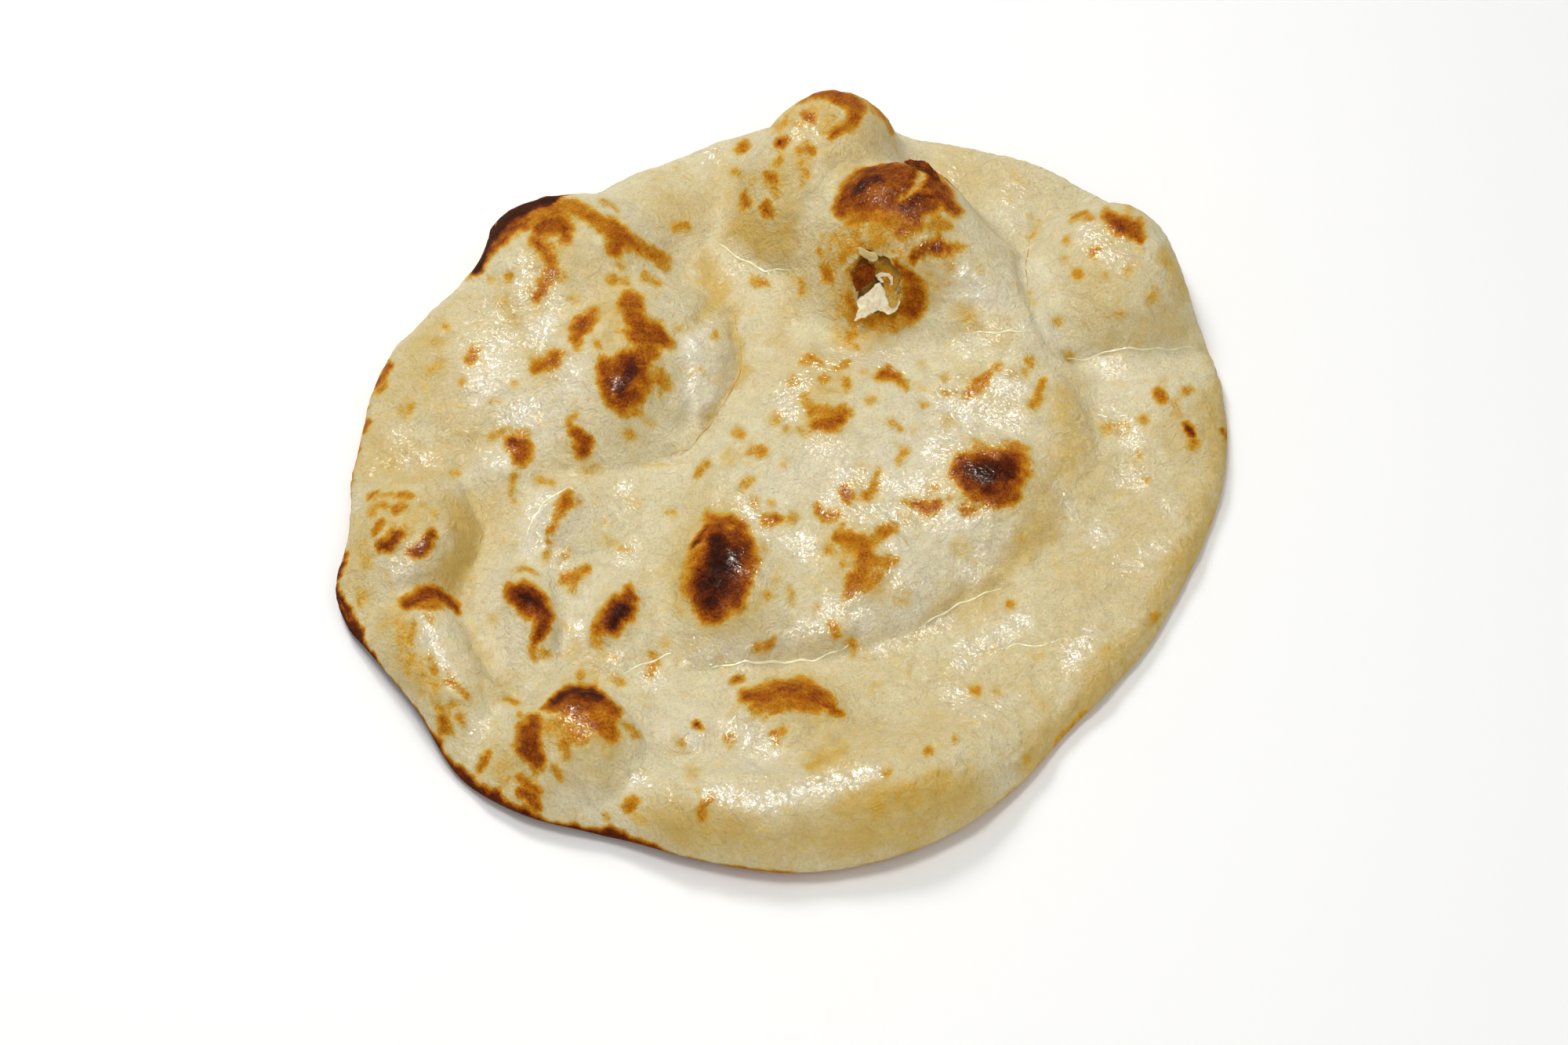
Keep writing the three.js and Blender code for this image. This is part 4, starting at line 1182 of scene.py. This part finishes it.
broad = noise(tree, (-1900, 600), where, 45, detail=4)
fibres = noise(tree, (-1900, 350), where, 420, detail=6, roughness=0.7, distortion=1.5)
specks = noise(tree, (-1900, 100), where, 1500, detail=4, roughness=0.7)
freckles = noise(tree, (-1900, -500), where, 150, detail=5, roughness=0.6, distortion=0.6)
# The golden value also carries painted shade.
golden = read_attribute(tree, "golden", (-1900, 900))
# The pale value also carries painted sheen.
pale_and_sheen = read_attribute(tree, "pale_and_sheen", (-1900, 1100))
brown = read_attribute(tree, "browning", (-1900, -200))
dry = read_attribute(tree, "dry", (-1900, -350))
print("crust reads", sum(node.type == "ATTRIBUTE" for node in tree.nodes), "stored values so far")

# %% [markdown]
# ## The dough between the spots
# Cream is the base. Golden stain, which is partly painted shade, and white, which is partly painted
# sheen, are mixed in by the stored values, roughened by a broad noise and by fine fibres, and small
# darker pores are sprinkled over all of it. In the wet patches milky streaks of painted sheen whiten
# the dough.

# %% Pale and golden dough
golden_shift = math_node(tree, (-1600, 650), "MULTIPLY_ADD", broad, 1.3, -0.56)
fibre_shift = math_node(tree, (-1600, 450), "MULTIPLY_ADD", fibres, 1.2, -0.60)
golden_sum = math_node(tree, (-1400, 700), "ADD", golden, golden_shift)
golden_total = math_node(tree, (-1200, 700), "ADD", golden_sum, fibre_shift)
golden_share = clamped(tree, (-1000, 700), golden_total)
sheen = read_attribute(tree, "sheen", (-1900, 1300))
# Painted sheen: in the wet patches, streaks of the fibre noise whiten the dough colour.
sheen_streak_mask = grey_ramp(tree, (-1600, 1300), fibres, (0.40, 0), (0.62, 1))
painted_sheen_white = math_node(tree, (-1400, 1300), "MULTIPLY", sheen, sheen_streak_mask)
pale_and_sheen_total = math_node(tree, (-1200, 1000), "MULTIPLY_ADD", pale_and_sheen, 0.8, painted_sheen_white)
base = mix_colour(tree, (-800, 800), golden_share, CREAM, GOLD_AND_SHADE)
base = mix_colour(tree, (-600, 850), pale_and_sheen_total, base, WHITE_DOUGH_AND_SHEEN)
pore = grey_ramp(tree, (-800, 1100), specks, (0.30, 1), (0.52, 0))
pore_share = math_node(tree, (-500, 1100), "MULTIPLY", pore, 0.55)
base = mix_colour(tree, (-400, 850), pore_share, base, PORE)
print("dough colour takes", len(tree.nodes), "nodes so far")

# %% [markdown]
# ## From browning to colour
# The edge of a scorch is eaten out by tiny bubbles. Inside the soft edge of every spot, noises of
# three sizes are added to the browning before a ramp turns it into colour. Faint freckles and the
# scorched underside join in by taking the larger value.

# %% Ragged browning
in_spot = grey_ramp(tree, (-1600, -350), brown, (0.02, 0), (0.28, 1))
edge_fibres = math_node(tree, (-1600, -200), "MULTIPLY_ADD", fibres, 0.30, -0.15)
edge_specks = math_node(tree, (-1600, -50), "MULTIPLY_ADD", specks, 0.80, -0.40)
clots = noise(tree, (-1900, -350), where, 240, detail=3, roughness=0.55)
edge_clots = math_node(tree, (-1600, 80), "MULTIPLY_ADD", clots, 0.70, -0.34)
edge_fine = math_node(tree, (-1500, -150), "ADD", edge_fibres, edge_specks)
edge_sum = math_node(tree, (-1400, -150), "ADD", edge_fine, edge_clots)
edge_masked = math_node(tree, (-1200, -200), "MULTIPLY", edge_sum, in_spot)
brown_noisy = math_node(tree, (-1000, -100), "ADD", brown, edge_masked)
freckle = grey_ramp(tree, (-1600, -550), freckles, (0.56, 0), (0.78, 0.34))
under = read_attribute(tree, "under", (-1900, -450))
scorches = noise(tree, (-1900, -650), where, 75, detail=6, roughness=0.62, distortion=0.5)
scorch = grey_ramp(tree, (-1600, -650), scorches, (0.46, 0), (0.68, 0.85))
under_brown = math_node(tree, (-1400, -600), "MULTIPLY", under, scorch)
spotted = math_node(tree, (-1200, -450), "MAXIMUM", freckle, under_brown)
brown_total = math_node(tree, (-900, -250), "MAXIMUM", brown_noisy, spotted)
brown_scaled = math_node(tree, (-850, -100), "MULTIPLY", brown_total, 0.78)
scorched = ramp(tree, (-800, -100), brown_scaled, [
    (0.0, STAIN), (0.10, STAIN), (0.26, GOLDEN_BROWN), (0.42, ORANGE_BROWN), (0.58, BROWN),
    (0.76, DARK_BROWN), (0.96, CHAR)])
cover = grey_ramp(tree, (-800, 250), brown_total, (0.02, 0), (0.34, 1))
dry_share = math_node(tree, (-600, -250), "MULTIPLY", dry, 0.08)
toasted = mix_colour(tree, (-500, 0), dry_share, scorched, DRY_BROWN)
colour = mix_colour(tree, (-300, 400), cover, base, toasted)
tree.links.new(colour, shader.inputs["Base Color"])
print("with the browning", len(tree.nodes), "nodes")

# %% [markdown]
# ## Rough skin
# Scorched skin is rougher than pale skin. One strength of grain would make the pale dough coarse or
# the spots too smooth, so the strength follows the browning.

# %% Grain on the crust
grain = add_node(tree, "ShaderNodeGroup", (-600, -500), node_tree=GRAIN)
roughened = math_node(tree, (-800, -500), "MULTIPLY_ADD", brown, 0.9, 1.0)
tree.links.new(roughened, grain.inputs["Strength"])
tree.links.new(grain.outputs["Normal"], shader.inputs["Normal"])
print("grain joins as node", len(tree.nodes))

# %% [markdown]
# ## The butter film
# Butter lies on the bread as a thin clear film. The whole skin could be made glossy, but then the
# dough itself turns to plastic. The coat of the shader is a clear film of its own: it gets its own
# finely rippled normal, so it breaks the light into sparkles while the dough stays soft.

# %% The butter film
RIPPLE_DEPTH = 0.65 * MM

gloss_patch = noise(tree, (-1900, -700), where, 90, detail=4)
gloss = grey_ramp(tree, (-1500, -700), gloss_patch, (0.38, 0.02), (0.64, 0.14))
off_spot = math_node(tree, (-1500, -620), "MULTIPLY_ADD", in_spot, -0.8, 1.0)
thin_film = math_node(tree, (-1420, -700), "MULTIPLY", gloss, off_spot)
buttered = math_node(tree, (-1350, -700), "ADD", thin_film, sheen)
unbuttered = math_node(tree, (-1350, -800), "MAXIMUM", dry, under)
wetness = math_node(tree, (-1200, -700), "SUBTRACT", buttered, unbuttered)
tree.links.new(clamped(tree, (-1000, -700), wetness), shader.inputs["Coat Weight"])
ripples = noise(tree, (-1500, -1000), where, 450, detail=1.0, roughness=0.5, distortion=1.0)
swells = noise(tree, (-1500, -1200), where, 200, detail=1.0, roughness=0.5)
rough_skin = math_node(tree, (-1200, -1000), "MULTIPLY_ADD", swells, 0.8, ripples)
glint_bump = add_node(tree, "ShaderNodeBump", (-900, -1000))
set_values(glint_bump, {"Strength": 1.0, "Distance": RIPPLE_DEPTH})
film_height = math_node(tree, (-1350, -1100), "MULTIPLY_ADD", sheen, 0.5, 0.9)
rippled = math_node(tree, (-1050, -1000), "MULTIPLY", rough_skin, film_height)
tree.links.new(rippled, glint_bump.inputs["Height"])
tree.links.new(glint_bump.outputs["Normal"], shader.inputs["Coat Normal"])
print("with the butter film", len(tree.nodes), "nodes")

# %% [markdown]
# ## Dull and dry
# Where the skin is dry it scatters light more evenly. One roughness for all would do from afar, but
# close up the dry rim would shine like the rest, so the roughness follows the stored dry value.

# %% Rougher where it is dry
dullness = math_node(tree, (-600, -350), "MULTIPLY_ADD", dry, 0.35, 0.6)
tree.links.new(dullness, shader.inputs["Roughness"])
bread.data.materials.append(crust)
print("crust has", len(tree.nodes), "nodes")

# %% [markdown]
# ## The torn bubble
# The tall bubble burst: shaggy crumb, a flap of browned crust and a pale lip stand in its hole.
# They could be pushed out of the bread's own mesh, but such thin scraps need edges of their own.
# Each is a grid laid where it was seen and cut to an outline in pixels. First, two helpers that
# find what to cut away, and one that finds the skin under a pixel.

# %% What lies inside an outline
def inside_outline(column, row, outline):
    """Whether each pixel lies inside a closed outline."""
    inside = np.zeros(len(column), bool)
    for (x0, y0), (x1, y1) in zip(outline, outline[1:] + outline[:1]):
        crosses = (y0 > row) != (y1 > row)
        inside ^= crosses & (column < (x1 - x0) * (row - y0) / ((y1 - y0) or 1e-9) + x0)
    return inside


def pinched_points(sheet):
    """Points where two parts of a cut sheet only touch at a corner."""
    uses = {}
    for face in sheet.data.polygons:
        for key in face.edge_keys:
            uses[key] = uses.get(key, 0) + 1
    rim_points = [index for key, count in uses.items() if count == 1 for index in key]
    return {index for index in rim_points if rim_points.count(index) > 2}


def on_skin(column, row):
    """Where the line of sight through a pixel meets the bread, and which way the skin faces."""
    _, place, normal, _ = bread.ray_cast(camera_place, picture_ray(column, row))
    return place, normal


print("the skin under pixel 1120, 300 is", round(on_skin(1120, 300)[0].z / MM, 1), "mm high")

# %% [markdown]
# ## Cut a sheet to its outline
# By hand this is knife work. Here the faces whose middles fall outside the outline are deleted,
# then the points that hang on by a corner, and the stepped rim is smoothed.

# %% Cut a sheet to its outline
WOBBLE_SCALE = 3
WOBBLE_SIZE = 2.2


def cut_sheet(sheet, outline):
    """Cut a grid to an outline that wanders a little, and leave no loose or pinched point."""
    column, row, _ = to_picture(np.array([face.center for face in sheet.data.polygons]))
    column, row = wobble(column * WOBBLE_SCALE, row * WOBBLE_SCALE, WOBBLE_SIZE)
    keep = inside_outline(column / WOBBLE_SCALE, row / WOBBLE_SCALE, outline)
    bpy.ops.object.mode_set(mode="EDIT")
    bpy.ops.mesh.select_mode(type="FACE")
    bpy.ops.mesh.select_all(action="DESELECT")
    bpy.ops.object.mode_set(mode="OBJECT")
    sheet.data.polygons.foreach_set("select", ~keep)
    bpy.ops.object.mode_set(mode="EDIT")
    bpy.ops.mesh.delete(type="FACE")
    bpy.ops.mesh.select_mode(type="VERT")
    bpy.ops.object.mode_set(mode="OBJECT")
    for index in pinched_points(sheet):
        sheet.data.vertices[index].select = True
    bpy.ops.object.mode_set(mode="EDIT")
    bpy.ops.mesh.delete(type="VERT")
    bpy.ops.mesh.select_all(action="SELECT")
    bpy.ops.mesh.delete_loose(use_verts=True, use_edges=True, use_faces=False)
    bpy.ops.mesh.select_all(action="SELECT")
    bpy.ops.mesh.vertices_smooth(factor=0.5, repeat=2)
    bpy.ops.object.mode_set(mode="OBJECT")


print("a cut wanders by up to", round(2.5 * WOBBLE_SIZE / WOBBLE_SCALE, 1), "pixels")

# %% [markdown]
# ## Lay, crumple and thicken a sheet
# The grid lies on a plane through the tear, under the middle of its outline. Cloth simulation
# could crumple it, but a Displace modifier gives the same scrap each time, and Solidify gives it
# two sides.

# %% A torn sheet
TEAR_PLANE = (Vector((24.3, 49.1, 28.3)) * MM, Vector((0.0, -0.8, 0.6)))
CELL = 0.3 * MM
MARGIN = 1.5
CRUMPLE_SIZE = 2.6 * MM
CRUMPLE_DEPTH = 4 * MM


def torn_sheet(name, outline, lift, lean=0.0, crumple=0.5, thickness=0.45, plane=None):
    """A thin ragged sheet over the given outline, lifted off the skin; sizes in millimetres."""
    xs, ys = zip(*outline)
    middle = (sum(xs) / len(xs), sum(ys) / len(ys))
    ray = picture_ray(*middle)
    hit, normal = plane or TEAR_PLANE
    place = camera_place + ray * ((hit - camera_place).dot(normal) / ray.dot(normal))
    depth = (place - camera_place).dot(forward)
    size = MARGIN * max(max(xs) - min(xs), max(ys) - min(ys)) * depth / FOCAL_PIXELS
    steps = int(size / CELL)
    turn = normal.to_track_quat("Z", "Y").to_euler()
    turn.x += math.radians(lean)
    bpy.ops.object.select_all(action="DESELECT")
    bpy.ops.mesh.primitive_grid_add(x_subdivisions=steps, y_subdivisions=steps, size=size,
                                    location=place + normal * lift * MM, rotation=turn)
    sheet = bpy.context.active_object
    sheet.name = name
    bpy.ops.object.transform_apply(location=True, rotation=True, scale=True)
    cut_sheet(sheet, outline)
    apply_modifier(sheet, "DISPLACE", texture=clouds(name, CRUMPLE_SIZE, 2),
                   strength=crumple * CRUMPLE_DEPTH, mid_level=0.5, texture_coords="LOCAL")
    apply_modifier(sheet, "SOLIDIFY", thickness=thickness * MM, offset=0)
    apply_modifier(sheet, "SUBSURF", levels=1)
    pick(sheet)
    bpy.ops.object.shade_smooth()
    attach(sheet, "root")
    return sheet


def dress(piece, material, **values):
    """Give a piece its material, and one value all over for each name."""
    piece.data.materials.append(material)
    for name, value in values.items():
        store(piece, name, np.full(len(piece.data.vertices), value))


print("the tear lies", round(TEAR_PLANE[0].z / MM, 1), "mm above the underside")

# %% [markdown]
# ## White crumb
# The inside of the bread is creamy white, matt and porous. It shares the grain group with the
# crust, at half the strength, and scatters light more.

# %% The white crumb
crumb, crumb_tree, crumb_shader = new_material("crumb", {
    "Roughness": 0.6, "Specular IOR Level": 0.2, "Subsurface Weight": 0.4,
    "Subsurface Radius": (1.0, 0.6, 0.3), "Subsurface Scale": 0.8 * MM})
crumb_where = add_node(crumb_tree, "ShaderNodeTexCoord", (-900, 0)).outputs["Object"]
crumb_mottle = noise(crumb_tree, (-700, 0), crumb_where, 900, detail=4)
crumb_colour = ramp(crumb_tree, (-400, 0), crumb_mottle, [
    (0.3, srgb(232, 206, 152)), (0.55, srgb(250, 238, 208))])
crumb_tree.links.new(crumb_colour, crumb_shader.inputs["Base Color"])
crumb_grain = add_node(crumb_tree, "ShaderNodeGroup", (-400, -300), node_tree=GRAIN)
crumb_grain.inputs["Strength"].default_value = 0.5
crumb_tree.links.new(crumb_grain.outputs["Normal"], crumb_shader.inputs["Normal"])
print("crumb has", len(crumb_tree.nodes), "nodes")

# %% [markdown]
# ## The scraps in the hole
# Each outline follows one scrap of the torn skin in pixels. Four separate sheets can lean and curl
# differently, where one cut sheet would stay flat.

# %% Outlines of the scraps
CRUMB_FLAP = [
    (1088, 412), (1094, 396), (1093, 386), (1099, 378), (1106, 373), (1113, 365), (1121, 360),
    (1127, 367), (1133, 376), (1139, 384), (1143, 384), (1138, 372), (1150, 375), (1149, 387),
    (1142, 397), (1132, 402), (1120, 397), (1111, 400), (1101, 406)]
CRUMB_CURL = [
    (1116, 352), (1124, 348), (1134, 348), (1140, 353), (1139, 361), (1134, 364), (1136, 357),
    (1131, 353), (1124, 354), (1128, 362), (1122, 361)]
CRUST_LOBE = [
    (1088, 352), (1093, 341), (1102, 335), (1112, 336), (1119, 344), (1116, 353), (1108, 361),
    (1100, 368), (1092, 374), (1087, 364)]
PALE_LIP = [
    (1092, 314), (1104, 317), (1116, 321), (1121, 330), (1113, 335), (1104, 330), (1096, 326)]

crumb_flap = torn_sheet("crumb_flap", CRUMB_FLAP, 0.2, lean=-14, crumple=0.5)
crumb_curl = torn_sheet("crumb_curl", CRUMB_CURL, 0.1, lean=24, crumple=0.4, thickness=0.35)
pale_lip = torn_sheet("pale_lip", PALE_LIP, 0.3, lean=-10, crumple=0.3, thickness=0.4)
crust_lobe = torn_sheet("crust_lobe", CRUST_LOBE, 0.4, lean=6, crumple=0.3, thickness=0.7)
dress(crumb_flap, crumb)
dress(crumb_curl, crumb)
dress(pale_lip, crust, golden=0.5, dry=0.5)
dress(crust_lobe, crust, browning=0.84, dry=0.6)
for piece in (crumb_flap, crumb_curl, pale_lip, crust_lobe):
    print(piece.name, len(piece.data.polygons), "faces")

# %% [markdown]
# ## The wall inside the hole
# Just inside the opening a tan wall of torn skin catches the light. The pocket itself is deep and
# dark, so this wall is one more sheet, set a little below the rim and leaning back to the light.

# %% The wall inside the hole
INNER_WALL = [
    (1106, 320), (1116, 317), (1128, 318), (1140, 324), (1149, 336), (1153, 352), (1151, 370),
    (1146, 388), (1136, 394), (1130, 378), (1125, 362), (1116, 350), (1108, 340)]
inner_wall = torn_sheet("inner_wall", INNER_WALL, -2.4, lean=-22, crumple=0.4, thickness=0.5)
dress(inner_wall, crust, browning=0.34, golden=0.9, dry=1.0)
print("inner wall has", len(inner_wall.data.polygons), "faces")

# %% [markdown]
# ## The lifted flake
# Beside the crack a thin burnt flake has come loose and stands off the dome. It is one more torn
# sheet, on a plane that leans between the skin and the line of sight.

# %% The flake on the cap
CAP_FLAKE = [
    (1152, 207), (1160, 204), (1170, 203), (1179, 205), (1187, 210), (1193, 217), (1198, 225),
    (1199, 232), (1193, 229), (1186, 222), (1179, 216), (1170, 212), (1160, 211)]
flake_place, flake_normal = on_skin(1180, 220)
flake_normal = (flake_normal - 0.9 * forward).normalized()
cap_flake = torn_sheet("cap_flake", CAP_FLAKE, 0.5, lean=6, crumple=0.35, thickness=0.6,
                       plane=(flake_place, flake_normal))
dress(cap_flake, crust, browning=0.95, dry=0.8)
print("cap flake has", len(cap_flake.data.polygons), "faces")

# %% [markdown]
# ## Butter
# Melted butter is pale yellow, clear and smooth. Here it is thin, so a yellow base with some
# scattering and a low roughness is enough, and it needs no slow glass. The base is lightened towards
# white, painted shine that stands in for the light the threads reflect along the folds.

# %% Butter
BUTTER_AND_SHINE = {
    "Base Color": srgb(243, 230, 186), "Roughness": 0.16, "IOR": 1.46, "Subsurface Weight": 0.4,
    "Subsurface Radius": (1.0, 0.7, 0.3), "Subsurface Scale": 0.8 * MM}
butter = new_material("butter", BUTTER_AND_SHINE)[0]
print("butter colour", [round(v, 2) for v in BUTTER_AND_SHINE["Base Color"]])

# %% [markdown]
# ## Butter lines
# Butter runs along the folds and stands there in thin threads that catch the light. Relief in the
# bread would be too coarse for them. A thread is a curve whose points are found on the skin under
# the given pixels; it swells and thins along its length and is then turned into a mesh.

# %% Lay a thread of butter
PIXELS_BETWEEN_POINTS = 5
THREAD_RADIUS = 0.6
THREAD_SINK = 0.25


def pixels_along(path):
    """Closely spaced pixels along a path."""
    spots = []
    for (x0, y0), (x1, y1) in zip(path, path[1:]):
        steps = max(2, int(math.hypot(x1 - x0, y1 - y0) / PIXELS_BETWEEN_POINTS))
        spots += [(x0 + (x1 - x0) * k / steps, y0 + (y1 - y0) * k / steps) for k in range(steps)]
    return spots + [path[-1]]


def butter_line(name, path, width, material):
    """A thread of butter along a path of pixels, partly sunk in the skin; width in millimetres."""
    spots = pixels_along(path)
    bpy.ops.object.select_all(action="DESELECT")
    bpy.ops.curve.primitive_nurbs_path_add()
    thread = bpy.context.active_object
    thread.name = name
    curve = thread.data
    curve.splines.clear()
    curve.bevel_depth = THREAD_RADIUS * width * MM
    curve.bevel_resolution = 2
    curve.use_fill_caps = True
    spline = curve.splines.new("NURBS")
    spline.points.add(len(spots) - 1)
    for k, (column, row) in enumerate(spots):
        place, normal = on_skin(column, row + 1.2 * math.sin(0.9 * k))
        place = place - normal * THREAD_SINK * width * MM
        spline.points[k].co = (*place, 1)
        along = k / (len(spots) - 1)
        swell = 0.8 + 0.25 * math.sin(1.7 * k)
        spline.points[k].radius = (0.25 + math.sin(math.pi * along) ** 0.6) * swell
    spline.order_u = 4
    spline.use_endpoint_u = True
    spline.resolution_u = 3
    bpy.ops.object.convert(target="MESH")
    bpy.ops.object.mode_set(mode="EDIT")
    bpy.ops.mesh.select_all(action="SELECT")
    bpy.ops.mesh.remove_doubles(threshold=0.01 * MM)
    bpy.ops.mesh.normals_make_consistent(inside=False)
    bpy.ops.object.mode_set(mode="OBJECT")
    bpy.ops.object.shade_smooth()
    dress(thread, material)
    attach(thread, "root")
    return thread


print("butter on the bread so far:", butter.users, "pieces")

# %% [markdown]
# ## Where the threads run
# Each line is a width in millimetres and the pixels it runs through: along the foot of the knob at
# the back, round the domes and along the long fold at the front.

# %% Lay all the threads
BUTTER_LINES = [
    (0.8, [(890, 855), (920, 850), (950, 845), (1000, 845), (1040, 842), (1080, 825), (1090, 815)]),
    (0.7, [(1165, 805), (1190, 790), (1225, 770), (1280, 748)]),
    (0.6, [(1270, 828), (1300, 822), (1330, 825), (1355, 812)]),
    (0.6, [(1345, 455), (1380, 460), (1425, 445), (1500, 445), (1540, 440)]),
    (0.7, [(905, 300), (935, 325), (975, 346), (1015, 343)]),
    (0.6, [(1225, 425), (1275, 424), (1325, 420)]),
    (0.6, [(665, 700), (680, 660), (700, 635), (725, 622), (745, 630)]),
    (0.6, [(790, 860), (820, 848), (860, 832)]),
]
for number, (width, path) in enumerate(BUTTER_LINES):
    butter_line(f"butter_{number + 1}", path, width, butter)
print(len(BUTTER_LINES), "butter lines")

# %% [markdown]
# ## Crease shade
# Where a bubble folds under, a thin golden brown line of painted shade marks the deep fold. The
# browning is stored about four pixels apart, too coarse for such a line, so it is drawn as a very
# thin thread of a darker butter that lies deep in the fold.

# %% Crease shade
# A darker, duller butter for the threads of painted crease shade.
CREASE_SHADE = BUTTER_AND_SHINE | {"Base Color": srgb(196, 146, 62), "Roughness": 0.35}
crease_shade_butter = new_material("crease_shade_butter", CREASE_SHADE)[0]
CREASES = [
    (0.42, [(937, 400), (943, 440), (945, 470), (931, 502), (906, 540), (880, 572), (850, 582)]),
    (0.34, [(600, 626), (614, 645), (618, 672), (610, 700), (598, 730)]),
    (0.3, [(593, 788), (600, 803), (608, 818)]),
    (0.3, [(1312, 372), (1308, 340), (1314, 302)]),
]
for number, (width, path) in enumerate(CREASES):
    butter_line(f"crease_{number + 1}", path, width, crease_shade_butter)
print(len(CREASES), "stained creases")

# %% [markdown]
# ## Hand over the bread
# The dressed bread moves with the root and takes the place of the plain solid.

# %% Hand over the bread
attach(bread, "root")
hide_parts("naan")
print("bread stands in for", source.name)

# %% [markdown]
# ## Floor
# A plain pale floor catches the shadow, so the bread is seen to rest on something. It lies a fifth
# of a millimetre lower, because two faces at one height would flicker.

# %% Floor
bpy.ops.mesh.primitive_plane_add(size=6, location=(0, 0, -0.2 * MM))
floor = bpy.context.active_object
floor.name = "floor"
FLOOR_WHITE = {"Base Color": (0.86, 0.86, 0.85, 1), "Roughness": 0.7}
dress(floor, new_material("floor_white", FLOOR_WHITE)[0])
print("floor is", floor.dimensions.x, "m wide")

# %% [markdown]
# ## Lights
# Soft light from behind and to the left models the bubbles, and a gentle fill opens the front.
# Large lights would also blur the gloss, so they are hidden from reflections, and three small
# lights that are hidden from the dough make the sparkles in the butter.

# %% Lights
def soft_light(name, place, size, power):
    """Square area light that points at the bread."""
    bpy.ops.object.light_add(type="AREA", location=place)
    light = bpy.context.active_object
    light.name = name
    light.data.shape = "SQUARE"
    light.data.size = size
    light.data.energy = power
    light.rotation_euler = (-Vector(place)).to_track_quat("-Z", "Y").to_euler()
    return light


GLINT_SIZE = 0.13
GLINT_COLOUR = (1.0, 0.96, 0.88)
for name, place, size, power in [
    ("key", (-0.45, 0.75, 0.95), 0.34, 7.2), ("top", (-0.25, -0.05, 1.25), 0.34, 4.8),
    ("fill", (0.5, -1.0, 1.0), 1.4, 6.4),
]:
    soft_light(name, place, size, power).visible_glossy = False
for name, place, power in [
    ("left_glint", (-0.33, 0.76, 0.93), 20), ("top_glint", (-0.24, -0.05, 1.20), 18),
    ("right_glint", (0.30, 0.30, 1.20), 9),
]:
    glint = soft_light(name, place, GLINT_SIZE, power)
    glint.visible_diffuse = False
    glint.data.color = GLINT_COLOUR

# %% [markdown]
# ## World
# An even white surrounding lifts the shadows, as the walls of a bright room do. A picture of a room
# could stand in for it, but plain white keeps the colours of the dough. It is hidden from
# reflections, where it would lie on the butter like a veil.

# %% World
world = bpy.data.worlds.new("studio")
world.use_nodes = True
set_values(world.node_tree.nodes["Background"], {"Color": (1.0, 1.0, 1.0, 1), "Strength": 0.36})
world.cycles_visibility.glossy = False
bpy.context.scene.world = world
bpy.context.scene.view_settings.view_transform = "Standard"
print("a world of", len(world.node_tree.nodes), "nodes, seen by the dough but not by the gloss")

# %% [markdown]
# ## Camera
# The same camera as above, now as an object, so the picture is taken from where it was measured.

# %% Camera
SENSOR_MM = 36

bpy.ops.object.camera_add(location=camera_place, rotation=(math.pi / 2 - CAMERA_ELEVATION, 0, 0))
camera = bpy.context.active_object
camera.name = "camera"
camera.data.sensor_width = SENSOR_MM
camera.data.lens = FOCAL_PIXELS / PICTURE_WIDTH * SENSOR_MM
bpy.context.scene.camera = camera
print("lens", round(camera.data.lens, 1), "mm")
